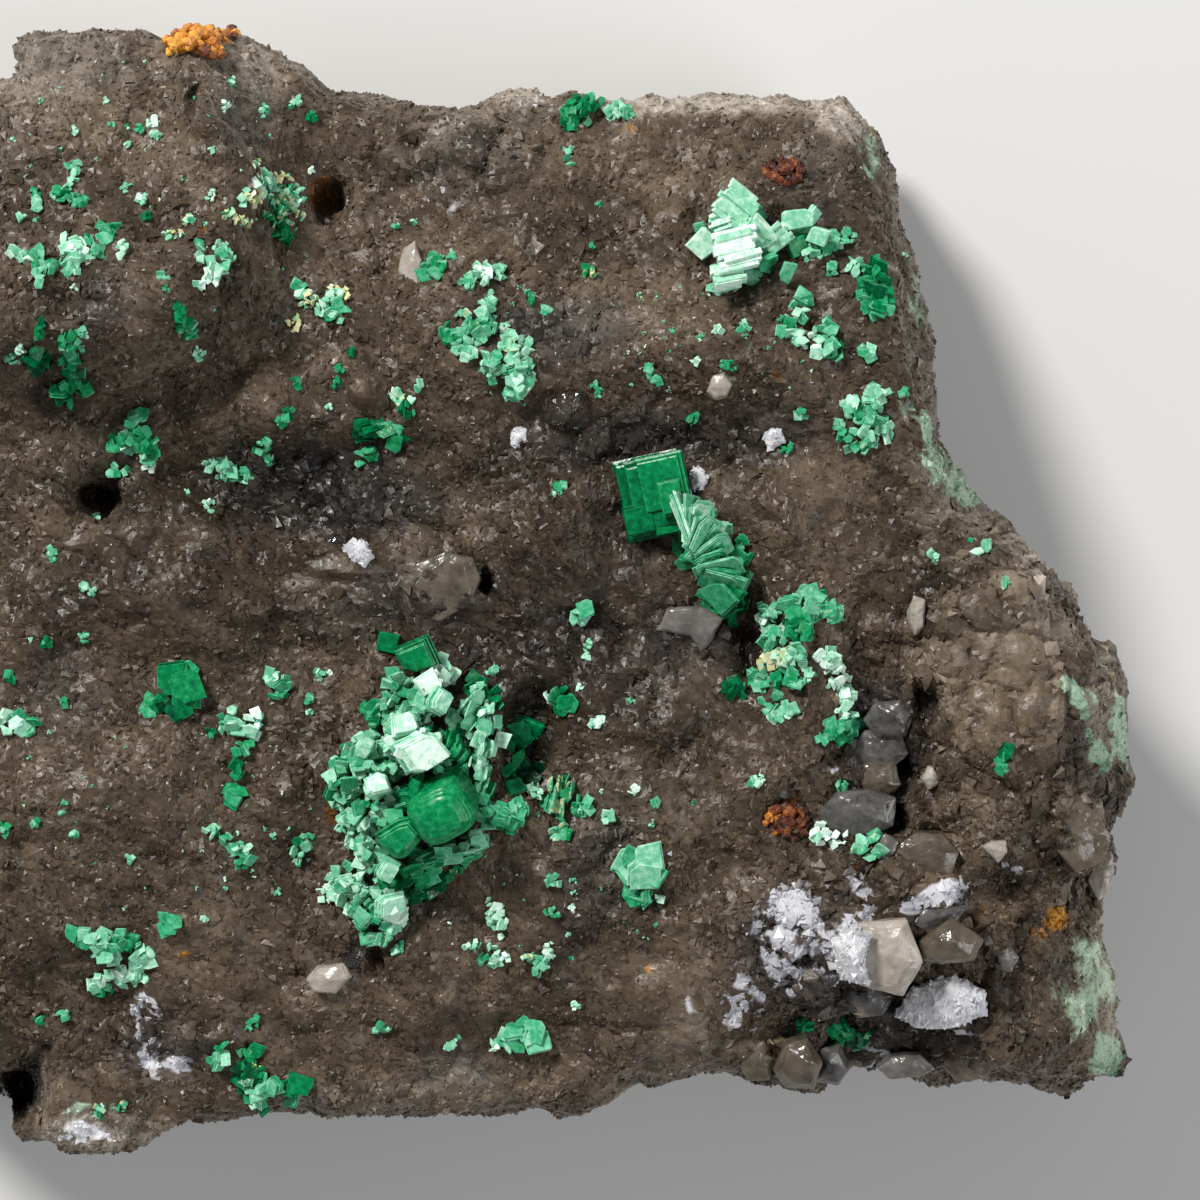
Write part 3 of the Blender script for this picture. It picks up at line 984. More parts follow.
# Tufts that stand for the solids of the same name. Their rows are patches
TUFTS = {
    "deep_tuft_right": [
        (873, 288, 0.4, 0.6, 10, 26, 0.34, 0.3, 0, 0.3), (855, 267, 0.22, 0.2, 0, 7, 0.22, 0.66),
        (877, 309, 0.33, 0.2, 10, 10, 0.26, 0.5, 0, 0.15),
    ],
    "star_right": [
        (797, 308, 0.35, 0.38, 0, 18, 0.32, 0.6, 0, 0.3), (786, 326, 0.26, 0.2, 20, 8, 0.26, 0.55),
        (801, 338, 0.3, 0.24, 0, 12, 0.26, 0.62, 0, 0.2), (826, 332, 0.3, 0.3, 0, 12, 0.28, 0.6, 0, 0.2),
        (824, 350, 0.4, 0.3, -20, 16, 0.28, 0.64, 0, 0.25), (837, 348, 0.14, 0.14, 0, 4, 0.22, 0.25),
    ],
    "bud_right": [(868.5, 354.5, 0.24, 0.2, 25, 7, 0.3, 0.5, 0, 0.15, 40)],
    "right_edge_tuft": [
        (876, 394, 0.36, 0.28, 20, 18, 0.27, 0.56, 0.1, 0.25), (853, 407, 0.28, 0.25, 0, 12, 0.25, 0.6),
        (868, 417, 0.45, 0.3, 0, 20, 0.26, 0.42, 0.1, 0.3), (841, 430, 0.16, 0.24, 0, 7, 0.22, 0.6),
        (861, 441, 0.42, 0.28, 0, 18, 0.26, 0.58, 0.15, 0.25),
        (882, 430, 0.25, 0.36, 0, 14, 0.24, 0.62, 0.3),
    ],
    "top_edge_tuft": [
        (583, 110, 0.5, 0.34, 15, 26, 0.3, 0.42, 0, 0.35), (570, 122, 0.2, 0.3, 0, 9, 0.26, 0.3),
        (619, 112, 0.4, 0.2, 0, 14, 0.26, 0.62, 0, 0.15), (568, 154, 0.12, 0.18, 0, 4, 0.2, 0.5),
    ],
    "granular_trail": [
        (484, 276, 0.5, 0.3, 15, 30, 0.24, 0.7, 0.15, 0.25), (466, 284, 0.16, 0.14, 0, 6, 0.2, 0.68),
        (489, 297, 0.12, 0.24, 0, 8, 0.2, 0.66, 0.1), (484, 314, 0.22, 0.34, 0, 16, 0.24, 0.68, 0.1, 0.2),
        (463, 316, 0.2, 0.14, 0, 7, 0.2, 0.6, 0.3), (449, 334, 0.18, 0.28, 0, 11, 0.24, 0.5, 0.1),
        (463, 334, 0.3, 0.28, 0, 18, 0.26, 0.68, 0.15, 0.2),
        (482, 334, 0.34, 0.3, 0, 22, 0.26, 0.66, 0.25, 0.25),
        (470, 352, 0.4, 0.28, -20, 24, 0.26, 0.6, 0.15, 0.2), (494, 364, 0.26, 0.3, -40, 16, 0.24, 0.62),
        (503, 328, 0.14, 0.14, 0, 5, 0.2, 0.7, 0.2), (514, 344, 0.3, 0.3, 0, 18, 0.24, 0.66, 0.35, 0.2),
        (526, 347, 0.16, 0.14, 0, 6, 0.2, 0.68, 0.2), (517, 364, 0.34, 0.32, 0, 22, 0.28, 0.66, 0.05, 0.25),
        (516, 384, 0.34, 0.34, 0, 16, 0.36, 0.68, 0.1, 0.35, 25), (531, 379, 0.12, 0.18, 0, 5, 0.18, 0.8),
        (491, 376, 0.1, 0.14, 0, 4, 0.18, 0.6),
    ],
    "crumb_upper": [
        (431, 268, 0.26, 0.3, -20, 9, 0.34, 0.42, 0, 0.15), (446, 258, 0.26, 0.14, 40, 10, 0.18, 0.72, 0.2),
    ],
    "crusted_patch": [
        (301, 288, 0.19, 0.16, 0, 3, 0.4, 0.45, 0, 0.1, 15),
        (329, 304, 0.46, 0.36, -10, 30, 0.27, 0.7, 0.15, 0.3), (308, 299, 0.24, 0.2, 0, 16, 0.15, 0.75, 1.0),
        (329, 289, 0.2, 0.14, 0, 10, 0.15, 0.75, 1.0), (345, 294, 0.22, 0.16, -30, 12, 0.15, 0.75, 1.0),
        (296, 325, 0.3, 0.22, 0, 14, 0.13, 0.7, 0.95, 0.05), (335, 318, 0.2, 0.14, 0, 7, 0.2, 0.66, 0.3),
    ],
    "lobe_crust": [
        (265, 186, 0.3, 0.36, -10, 20, 0.25, 0.74, 0.1, 0.25),
        (255, 196, 0.3, 0.25, 0, 18, 0.17, 0.76, 0.75), (277, 178, 0.34, 0.16, 0, 14, 0.16, 0.76, 0.8),
        (286, 196, 0.28, 0.38, 0, 24, 0.2, 0.5, 0.55, 0.2),
        (274, 212, 0.3, 0.36, 0, 22, 0.22, 0.4, 0.35, 0.2),
        (281, 236, 0.22, 0.26, 0, 14, 0.25, 0.26, 0.05, 0.2), (256, 166, 0.1, 0.26, 10, 8, 0.13, 0.7, 0.8),
        (294, 214, 0.2, 0.4, 0, 16, 0.18, 0.56, 0.5), (298, 195, 0.12, 0.22, 0, 7, 0.18, 0.72, 0.1),
        (237, 201, 0.2, 0.16, 0, 8, 0.17, 0.72, 0.2), (229, 214, 0.2, 0.14, 0, 8, 0.15, 0.72, 0.6),
        (241, 221, 0.24, 0.12, -20, 9, 0.14, 0.75, 0.9),
    ],
    "lobe_pale_chip": [
        (206, 284, 0.28, 0.14, 0, 12, 0.2, 0.92), (214, 271, 0.18, 0.3, -20, 10, 0.27, 0.78, 0, 0.15),
        (226, 257, 0.26, 0.18, 30, 9, 0.28, 0.74), (221, 247, 0.2, 0.1, 0, 5, 0.2, 0.8),
    ],
    "lobe_left_chain": [
        (20, 257, 0.34, 0.15, -10, 9, 0.3, 0.76, 0, 0.1), (37, 262, 0.24, 0.3, 0, 12, 0.28, 0.5),
        (38, 278, 0.14, 0.28, 10, 7, 0.24, 0.56), (53, 268, 0.2, 0.16, 0, 8, 0.22, 0.56),
        (72, 246, 0.28, 0.26, 0, 14, 0.32, 0.82, 0, 0.25, 35), (72, 264, 0.26, 0.24, 0, 11, 0.3, 0.72),
        (90, 245, 0.16, 0.2, 0, 7, 0.24, 0.5), (106, 232, 0.26, 0.22, 20, 11, 0.28, 0.42),
        (96, 251, 0.26, 0.16, -20, 9, 0.22, 0.58), (122, 250, 0.2, 0.18, 0, 8, 0.2, 0.74, 0.2),
    ],
    "lobe_left_spot": [
        (37, 206, 0.26, 0.18, 10, 8, 0.28, 0.62), (36, 195, 0.08, 0.18, 0, 3, 0.18, 0.6),
        (28, 218, 0.24, 0.16, 0, 7, 0.26, 0.64),
    ],
    "lobe_middle_spot": [
        (75, 171, 0.2, 0.18, -20, 7, 0.27, 0.58), (71, 184, 0.08, 0.18, -40, 4, 0.16, 0.5),
        (63, 194, 0.22, 0.12, 10, 6, 0.24, 0.36), (78, 201, 0.24, 0.13, -15, 7, 0.25, 0.48),
    ],
    "lobe_foot": [(181, 316, 0.14, 0.3, 12, 8, 0.26, 0.25), (187, 329, 0.18, 0.26, 0, 8, 0.3, 0.46)],
    "left_shade_tuft": [
        (41, 334, 0.14, 0.3, 0, 7, 0.28, 0.2), (71, 346, 0.3, 0.34, 0, 15, 0.3, 0.42),
        (74, 364, 0.26, 0.42, -10, 16, 0.3, 0.46, 0, 0.2), (67, 389, 0.3, 0.34, 0, 14, 0.34, 0.3, 0, 0.2),
        (84, 388, 0.14, 0.18, 0, 5, 0.25, 0.25), (38, 359, 0.26, 0.3, 0, 10, 0.32, 0.14),
    ],
    "left_star": [
        (138, 425, 0.28, 0.45, 0, 20, 0.3, 0.48, 0, 0.3),
        (128, 440, 0.55, 0.24, 15, 20, 0.28, 0.46, 0, 0.25), (145, 448, 0.28, 0.4, 0, 18, 0.3, 0.5, 0, 0.3),
        (150, 466, 0.14, 0.16, 0, 5, 0.2, 0.84), (118, 471, 0.24, 0.18, 0, 9, 0.24, 0.66),
    ],
    "left_saddle": [
        (216, 467, 0.26, 0.26, 0, 11, 0.3, 0.54), (231, 471, 0.26, 0.18, -10, 9, 0.26, 0.56),
        (245, 477, 0.14, 0.24, 15, 6, 0.22, 0.54),
    ],
    "platy_fan": [
        (372, 431, 0.65, 0.16, 12, 16, 0.42, 0.16, 0, 0.15, 85, 0.12, 10),
        (393, 437, 0.3, 0.2, -20, 9, 0.36, 0.3, 0, 0.15, 80, 0.15, -20),
        (366, 455, 0.36, 0.2, 15, 8, 0.36, 0.38),
    ],
    "groove_sprig": [
        (417, 389, 0.15, 0.28, -15, 8, 0.26, 0.7, 0.15), (398, 394, 0.14, 0.2, 10, 6, 0.22, 0.66, 0.35),
        (409, 409, 0.18, 0.3, -10, 8, 0.28, 0.36),
    ],
    "left_emerald": [
        (182, 682, 0.32, 0.3, 0, 4, 0.72, 0.17, 0, 0.1, 12, 0.2, 10),
        (158, 705, 0.36, 0.22, 20, 7, 0.4, 0.3, 0, 0.05, 20, 0.2),
        (178, 708, 0.34, 0.2, 0, 5, 0.5, 0.2, 0, 0.1, 15),
    ],
    "left_pair": [
        (275, 685, 0.36, 0.36, 0, 20, 0.3, 0.56, 0, 0.35),
        (254, 722, 0.2, 0.38, -15, 12, 0.3, 0.86, 0, 0.3, 35),
        (232, 721, 0.34, 0.3, 0, 15, 0.32, 0.64, 0, 0.25), (210, 732, 0.16, 0.1, 0, 3, 0.22, 0.4),
    ],
    "left_column": [
        (244, 749, 0.28, 0.14, 10, 7, 0.26, 0.56), (237, 768, 0.14, 0.18, 0, 4, 0.28, 0.22),
        (233.5, 792, 0.18, 0.14, 0, 3, 0.55, 0.4, 0, 0.05, 8, 0.2, 0),
    ],
    "left_frame_chip": [
        (12, 724, 0.5, 0.3, -15, 14, 0.38, 0.72, 0, 0.25), (32, 722, 0.2, 0.12, -20, 4, 0.3, 0.5),
    ],
    "lower_left_chips": [
        (211, 832, 0.18, 0.14, 0, 6, 0.22, 0.72), (231, 840, 0.3, 0.22, -30, 12, 0.28, 0.64, 0, 0.15),
        (246, 849, 0.12, 0.12, 0, 4, 0.2, 0.8), (245, 862, 0.2, 0.24, -20, 8, 0.26, 0.48),
    ],
    "main_side_chip": [(303, 847, 0.24, 0.4, -30, 16, 0.26, 0.64, 0.2, 0.15)],
    "lower_left_single": [(171, 918, 0.25, 0.3, 0, 9, 0.38, 0.6, 0, 0.2, 30)],
    "lower_left_patch": [
        (88, 936, 0.45, 0.18, -15, 12, 0.36, 0.52, 0, 0.1, 35, 0.25),
        (107, 950, 0.35, 0.22, -40, 10, 0.34, 0.62), (120, 940, 0.55, 0.16, -20, 12, 0.32, 0.4, 0, 0.1),
        (142, 958, 0.28, 0.28, 0, 9, 0.3, 0.58, 0.1), (112, 978, 0.5, 0.28, 10, 22, 0.3, 0.78, 0.15, 0.2),
        (136, 975, 0.34, 0.22, 20, 12, 0.28, 0.84, 0.1), (103, 988, 0.26, 0.12, 0, 6, 0.3, 0.5),
    ],
    "bottom_edge_spray": [
        (222, 1056, 0.28, 0.32, 0, 12, 0.34, 0.5, 0.05, 0.2),
        (252, 1062, 0.42, 0.36, 0, 16, 0.34, 0.28, 0.3, 0.2),
        (247, 1081, 0.3, 0.3, 0, 10, 0.38, 0.16, 0, 0.2),
        (268, 1088, 0.4, 0.45, -30, 20, 0.38, 0.6, 0, 0.35),
        (296, 1089, 0.34, 0.24, 10, 9, 0.42, 0.28, 0, 0.15, 35), (258, 1100, 0.3, 0.16, -20, 6, 0.34, 0.4),
    ],
    "triangle_plate": [(580, 612, 0.24, 0.2, 20, 6, 0.36, 0.5, 0, 0.08, 22, 0.2)],
    "small_block": [
        (563, 702, 0.22, 0.42, -8, 10, 0.34, 0.3, 0, 0.2, 30), (551, 696, 0.12, 0.14, 0, 4, 0.18, 0.85, 0.3),
    ],
    "mixed_tuft": [
        (532, 796, 0.38, 0.32, 10, 22, 0.22, 0.84, 0.15, 0.3), (520, 808, 0.26, 0.2, 0, 10, 0.24, 0.55),
        (558, 796, 0.45, 0.5, 60, 22, 0.42, 0.46, 0.4, 0.25, 88, 0.1, 75),
        (582, 806, 0.3, 0.25, 0, 12, 0.28, 0.48, 0.25, 0.15, 80, 0.15),
        (608, 815, 0.13, 0.22, -20, 5, 0.24, 0.6), (560, 828, 0.3, 0.3, 0, 8, 0.24, 0.4, 0.3),
    ],
    "right_block": [
        (643, 866, 0.46, 0.4, 20, 12, 0.55, 0.52, 0, 0.25, 25, 0.25),
        (643, 892, 0.42, 0.24, -5, 12, 0.4, 0.4, 0, 0.2), (652, 898, 0.3, 0.08, 5, 8, 0.22, 0.82, 0, 0.2),
    ],
    "lower_middle_sprig": [
        (490, 912, 0.1, 0.34, 5, 8, 0.22, 0.78), (499, 918, 0.2, 0.5, 8, 18, 0.24, 0.8, 0, 0.15),
        (494, 955, 0.38, 0.24, 0, 16, 0.22, 0.74), (471, 945, 0.2, 0.13, 20, 6, 0.2, 0.66),
        (540, 965, 0.22, 0.2, 20, 9, 0.2, 0.72), (549, 949, 0.1, 0.26, -5, 6, 0.18, 0.76),
        (529, 956, 0.14, 0.12, 0, 5, 0.15, 0.7, 0.5),
    ],
    "lower_middle_pair": [
        (518, 1035, 0.5, 0.34, 0, 14, 0.5, 0.5, 0, 0.1, 22, 0.22), (495, 1044, 0.13, 0.12, 0, 4, 0.2, 0.86),
    ],
    "rim_chip": [(978, 544, 0.28, 0.2, 30, 8, 0.28, 0.56, 0, 0.1), (934, 557, 0.13, 0.1, 0, 3, 0.2, 0.5)],
    "right_chip": [(1004, 758, 0.16, 0.38, -10, 8, 0.32, 0.32, 0.05, 0.1)],
    "pocket_pale_tuft": [
        (872, 847, 0.5, 0.28, 5, 20, 0.3, 0.55, 0.25, 0.15),
        (822, 834, 0.26, 0.32, 0, 14, 0.27, 1.0, 0, 0.2), (838, 838, 0.22, 0.24, 0, 10, 0.22, 1.0, 0, 0.15),
        (840, 785, 0.2, 0.08, 0, 4, 0.2, 0.5),
    ],
    "pocket_deep_tuft": [
        (806, 1022, 0.22, 0.24, -20, 8, 0.3, 0.25), (842, 1030, 0.36, 0.26, 10, 14, 0.3, 0.28, 0, 0.2),
        (858, 1040, 0.28, 0.18, -20, 8, 0.26, 0.45), (865, 1035, 0.16, 0.12, 0, 4, 0.2, 0.3),
    ],
    "crescent": [
        (768, 612, 0.28, 0.3, 0, 16, 0.26, 0.7, 0.1, 0.25),
        (803, 603, 0.55, 0.3, 15, 24, 0.38, 0.52, 0, 0.35, 40),
        (829, 612, 0.34, 0.2, -20, 12, 0.3, 0.5, 0.3, 0.2),
        (800, 626, 0.4, 0.32, 0, 18, 0.36, 0.34, 0, 0.3, 45),
        (774, 638, 0.3, 0.3, 0, 16, 0.28, 0.68, 0.1, 0.3),
        (776, 658, 0.46, 0.26, 10, 24, 0.24, 0.72, 0.55, 0.25),
        (796, 654, 0.28, 0.24, 0, 12, 0.28, 0.6, 0.2, 0.2),
        (758, 682, 0.3, 0.3, 0, 16, 0.27, 0.55, 0.1, 0.2), (735, 689, 0.3, 0.16, -25, 9, 0.3, 0.3, 0, 0.1),
        (787, 679, 0.42, 0.26, 15, 20, 0.28, 0.46, 0.1, 0.25), (806, 674, 0.22, 0.2, 0, 9, 0.24, 0.56, 0.15),
        (772, 700, 0.3, 0.22, -20, 13, 0.26, 0.6, 0.1, 0.2),
        (780, 713, 0.44, 0.16, 10, 16, 0.26, 0.56, 0.15, 0.15),
        (830, 661, 0.34, 0.2, -35, 16, 0.27, 0.93, 0, 0.25),
        (836, 678, 0.24, 0.26, 0, 14, 0.27, 0.9, 0, 0.25),
        (845, 695, 0.24, 0.28, -20, 14, 0.28, 0.88, 0, 0.25),
        (846, 712, 0.26, 0.26, 0, 12, 0.28, 0.72, 0, 0.2), (840, 730, 0.36, 0.3, 0, 16, 0.3, 0.5, 0.05, 0.2),
        (824, 737, 0.18, 0.1, 0, 5, 0.22, 0.45), (855, 725, 0.2, 0.16, 10, 6, 0.24, 0.44, 0.2),
    ],
}


def make_tufts():
    for name, rows in TUFTS.items():
        slabs = Slabs()
        draw = random.Random(name)
        for row in rows:
            grow(slabs, draw, row)
        slabs.finish(name, "torbernite_" + name)


make_tufts()


# The tiny square, the main cluster, the book with its fan, and the mint fan

class Plate(NamedTuple):
    """One large plate: its middle in the photograph, mm and degrees. lean is about X, then Y, then turn."""

    px: float
    py: float
    length: float
    width: float
    thickness: float
    rise: float
    lean_x: float
    lean_y: float
    turn: float
    pale: float


def plate_frame(px, py, rise, *angles):
    """Where the middle of a plate is that stands rise mm above the rock, and how it is turned."""
    spot, _ = seat(px, py)
    toward_eye = (EYE - spot).normalized()
    middle = spot + toward_eye * (rise / toward_eye.z) * MM
    return middle, Euler([math.radians(angle) for angle in angles]).to_matrix()


def lay_plate(slabs, draw, row, layers, worn=True):
    """The large plate of a row as a book of thinner layers, the upper ones smaller and shifted."""
    plate = Plate(*row)
    middle, turn = plate_frame(plate.px, plate.py, plate.rise, plate.lean_x, plate.lean_y, plate.turn)
    outline = worn_square(draw) if worn else SQUARE
    for layer in range(layers):
        share = 1 - 0.07 * layer
        shift = Vector((draw.uniform(-0.04, 0.04) * plate.length, draw.uniform(-0.04, 0.04) * plate.width,
                        ((layer + 0.5) / layers - 0.5) * plate.thickness))
        slabs.add(middle + turn @ shift * MM, turn, plate.length * share * MM, plate.width * share * MM,
                  plate.thickness / layers * 1.1 * MM, plate.pale + 0.04 * layer, outline=outline)


LATHS = 9


def lay_ridged(slabs, draw, row):
    """The plate of a row with a ridged face: laths side by side, each at its own height."""
    plate = Plate(*row)
    middle, turn = plate_frame(plate.px, plate.py, plate.rise, plate.lean_x, plate.lean_y, plate.turn)
    for number in range(LATHS):
        aside = ((number + 0.5) / LATHS - 0.5) * plate.width
        shift = Vector((draw.uniform(-0.08, 0.08) * plate.length, aside,
                        draw.uniform(0, 0.45) * plate.thickness))
        angles = (math.radians(draw.uniform(-12, 12)), 0, math.radians(draw.uniform(-3, 3)))
        tip = turn @ Euler(angles).to_matrix()
        slabs.add(middle + turn @ shift * MM, tip, plate.length * draw.uniform(0.8, 1.05) * MM,
                  plate.width / LATHS * 1.35 * MM, plate.thickness * MM,
                  plate.pale + draw.uniform(-0.07, 0.07))


def make_tiny_square():
    slabs = Slabs()
    lay_plate(slabs, random.Random(3), (388.5, 643, 0.54, 0.5, 0.22, 0.14, 4, -3, -12, 0.2), 2, False)
    slabs.finish("tiny_square", "torbernite_tiny_square")


# Patches and plates of the main cluster, and crumbs on its plates
MAIN_PATCHES = [
    # the dull, granular mass on the left and below
    (415, 705, 0.6, 0.6, 0, 34, 0.3, 0.7, 0, 1.0), (389, 708, 0.45, 0.4, 0, 22, 0.28, 0.66, 0, 0.6),
    (371, 712, 0.35, 0.3, 0, 14, 0.36, 0.32, 0, 0.3), (383, 733, 0.45, 0.4, 0, 22, 0.3, 0.6, 0, 0.7),
    (440, 672, 0.4, 0.34, 0, 20, 0.27, 0.84, 0, 0.7), (396, 683, 0.28, 0.38, 0, 14, 0.3, 0.64, 0, 0.5),
    (370, 765, 0.8, 0.75, 0, 55, 0.31, 0.66, 0, 0.9), (345, 778, 0.45, 0.7, 0, 34, 0.3, 0.58, 0, 0.5),
    (375, 805, 0.8, 0.6, 0, 50, 0.31, 0.68, 0, 0.9), (352, 818, 0.4, 0.5, 0, 26, 0.28, 0.66, 0, 0.5),
    (372, 848, 0.7, 0.55, 0, 44, 0.31, 0.72, 0, 0.9), (360, 848, 0.4, 0.3, 0, 14, 0.25, 0.9, 0, 0.8),
    (352, 882, 0.55, 0.5, 0, 34, 0.3, 0.7, 0, 0.6), (345, 879, 0.34, 0.24, 0, 12, 0.25, 0.94, 0, 0.6),
    (328, 893, 0.24, 0.26, 0, 10, 0.22, 0.93, 0, 0.2), (372, 906, 0.7, 0.5, -15, 44, 0.32, 0.62, 0, 0.8),
    (392, 908, 0.35, 0.5, 0, 20, 0.4, 0.74, 0, 0.5, 35), (380, 930, 0.45, 0.32, 0, 22, 0.32, 0.7, 0.05, 0.4),
    (352, 912, 0.3, 0.24, 0, 14, 0.26, 0.72, 0, 0.3), (400, 745, 0.5, 0.7, 0, 30, 0.33, 0.7, 0, 1.2),
    # the flank on the right, and the deep plates in its shade
    (472, 715, 0.5, 0.8, -20, 40, 0.32, 0.68, 0.08, 0.9, 80, 0.14, 60),
    (484, 745, 0.35, 1.1, -8, 44, 0.32, 0.72, 0.12, 0.9, 80, 0.14, 75),
    (460, 745, 0.3, 0.9, -8, 26, 0.36, 0.4, 0, 1.0, 70, 0.18, 70),
    (478, 785, 0.4, 0.4, 0, 24, 0.3, 0.6, 0.05, 0.6, 80, 0.14, 60),
    (482, 806, 0.5, 0.28, -40, 26, 0.34, 0.42, 0, 0.5, 85, 0.1, -35),
    (503, 818, 0.5, 0.32, -10, 24, 0.3, 0.46, 0.05, 0.3, 70, 0.15, -20),
    (519, 740, 0.4, 0.5, 0, 8, 0.6, 0.0, 0, -0.1, 40, 0.25),
    (524, 775, 0.5, 0.34, 0, 10, 0.5, 0.06, 0, 0.0, 40, 0.25),
    (478, 690, 0.25, 0.3, 0, 7, 0.34, 0.16, 0, 0.2), (492, 700, 0.2, 0.3, 0, 6, 0.3, 0.14, 0, 0.1),
    # the streaky ledge under the domed crystal, plates seen on edge
    (445, 852, 0.95, 0.3, 12, 44, 0.38, 0.52, 0, 0.7, 85, 0.09, 14),
    (465, 845, 0.55, 0.24, 15, 24, 0.34, 0.74, 0, 0.7, 85, 0.09, 14),
    (415, 872, 0.85, 0.35, 20, 34, 0.4, 0.3, 0, 0.5, 85, 0.1, 25),
    (428, 888, 0.6, 0.2, 30, 14, 0.36, 0.14, 0, 0.15, 80, 0.12, 30),
    # around the domed crystal
    (400, 815, 0.5, 0.6, -30, 26, 0.4, 0.5, 0, 1.2, 60),
    (418, 790, 0.5, 0.25, 30, 16, 0.4, 0.42, 0, 1.3, 60),
    (462, 775, 0.35, 0.5, 30, 16, 0.4, 0.16, 0, 0.7, 50),
]
MAIN_PLATES = [
    (418, 656, 0.95, 0.8, 0.5, 0.75, 18, -12, 20, 0.2), (430, 683, 0.55, 0.5, 0.4, 1.2, 12, 10, 30, 0.92),
    (424, 750, 1.15, 1.0, 0.9, 1.6, 14, 12, 32, 0.77), (405, 725, 0.7, 0.6, 0.3, 1.5, -20, 12, 10, 0.74),
    (440, 700, 0.6, 0.5, 0.4, 1.3, 30, 15, 60, 0.62), (399, 835, 0.9, 0.75, 0.5, 1.6, 15, -10, 40, 0.26),
    (517, 733, 0.8, 0.7, 0.3, 0.05, 15, 8, 8, 0.02), (375, 785, 0.6, 0.55, 0.3, 1.25, -14, 12, 20, 0.72),
    (388, 870, 0.6, 0.5, 0.4, 1.15, 20, -20, 55, 0.62), (392, 905, 0.7, 0.6, 0.3, 0.8, 25, 20, 10, 0.7),
    (365, 748, 0.5, 0.45, 0.35, 0.9, 10, -22, 50, 0.72),
]
MAIN_CRUMBS = [
    (411, 746, 0.35, 0.3, 20, 14, 0.22, 0.86, 0, 2.12, 30),
    (434, 734, 0.3, 0.25, 30, 12, 0.2, 0.92, 0, 2.15, 30),
    (422, 762, 0.4, 0.16, 10, 10, 0.22, 0.8, 0, 2.05, 40),
    (403, 720, 0.3, 0.25, 0, 11, 0.22, 0.8, 0, 1.75, 35), (428, 682, 0.25, 0.2, 0, 9, 0.2, 0.97, 0, 1.5, 35),
    (376, 783, 0.3, 0.25, 0, 11, 0.2, 0.78, 0, 1.5, 35), (390, 868, 0.3, 0.2, 0, 10, 0.2, 0.72, 0, 1.45, 35),
    (394, 903, 0.3, 0.3, 0, 11, 0.22, 0.76, 0, 1.05, 35),
    (418, 650, 0.25, 0.2, 0, 8, 0.2, 0.45, 0, 1.08, 35), (440, 766, 0.35, 0.14, 30, 9, 0.2, 0.7, 0, 1.8, 60),
]


DOME_RINGS = 16
DOME_SIDES = 32
DOME_SQUARENESS = 3.6       # power of its outline: 2 is a circle, and much more is a square
DOME_DEPTH = 1.8            # how far it reaches down, as a share of its radius
DOME_STEP = 0.045           # height of the step at every third ring, as a share of its radius


def add_dome(slabs, px, py, radius, rise, pale, lean):
    """A thick smooth crystal, nearly square, whose top is rounded in faint steps."""
    middle, turn = plate_frame(px, py, rise, *lean)
    first, faces = len(slabs.coords), len(slabs.sizes)
    for ring in range(DOME_RINGS):
        share = ring / (DOME_RINGS - 1)
        out = radius * (1 - 0.985 * share ** 2.3) ** 0.55
        level = radius * (0.75 * share - 0.4) + DOME_STEP * radius * (ring % 3 == 0)
        if ring == 0:
            level = -DOME_DEPTH * radius
        for i in range(DOME_SIDES):
            angle = math.tau * i / DOME_SIDES
            square = abs(math.cos(angle)) ** DOME_SQUARENESS + abs(math.sin(angle)) ** DOME_SQUARENESS
            reach = out / square ** (1 / DOME_SQUARENESS)
            corner = Vector((reach * math.cos(angle), reach * math.sin(angle) * 0.92, level))
            slabs.coords.append(middle + turn @ corner * MM)
    slabs.join(first, DOME_RINGS, DOME_SIDES)
    slabs.rounded += range(faces, len(slabs.sizes) - 2)
    slabs.pale += [pale] * (DOME_RINGS * DOME_SIDES)
    slabs.crust += [0.0] * (DOME_RINGS * DOME_SIDES)


def make_main_cluster():
    slabs = Slabs()
    draw = random.Random(21)
    for row in MAIN_PATCHES:
        grow(slabs, draw, row)
    for row in MAIN_PLATES:
        lay_plate(slabs, draw, row, 5)
    for row in MAIN_CRUMBS:
        grow(slabs, draw, row)
    add_dome(slabs, 440, 817, 0.76, 1.75, 0.3, (14, -12, 28))
    add_dome(slabs, 402, 838, 0.46, 1.45, 0.32, (10, 12, 50))
    slabs.finish("main_cluster", "torbernite_main_cluster")


BOOK_PLATES = [
    (652, 498, 1.7, 2.1, 0.5, 0.35, 4, -10, 12, 0.03), (656, 492, 1.5, 1.85, 0.35, 0.7, 4, -10, 12, 0.1),
    (664, 482, 1.2, 1.45, 0.3, 0.95, 3, -8, 12, 0.22), (648, 470, 0.75, 0.7, 0.35, 0.85, 2, -8, 12, 0.14),
    (667, 468, 0.7, 0.62, 0.25, 1.15, 3, -8, 12, 0.3), (640, 520, 0.8, 0.75, 0.3, 0.75, 5, -8, 12, 0.12),
    (668, 528, 0.75, 0.28, 0.4, 0.5, 3, -4, 12, 0.2), (672, 497, 0.6, 0.9, 0.25, 1.05, 3, -6, 12, 0.26),
]
FAN_MIDDLE = (709, 556)
FAN_BLADES = 34
FAN_LINE = 100              # pixels, length of the line that the blades splay from
FAN_HEADINGS = (122, -43)   # degrees, of the first and the last blade
FAN_PATCHES = [
    (712, 560, 0.75, 1.3, 25, 46, 0.42, 0.44, 0, 0.8, 75, 0.12),
    (698, 520, 0.35, 0.4, 0, 12, 0.4, 0.62, 0.1, 0.6, 60, 0.16),
    (727, 604, 0.35, 0.34, 0, 14, 0.4, 0.26, 0, 0.3, 60, 0.2),
    (738, 560, 0.25, 0.6, -10, 14, 0.36, 0.5, 0, 0.4, 70, 0.14),
]


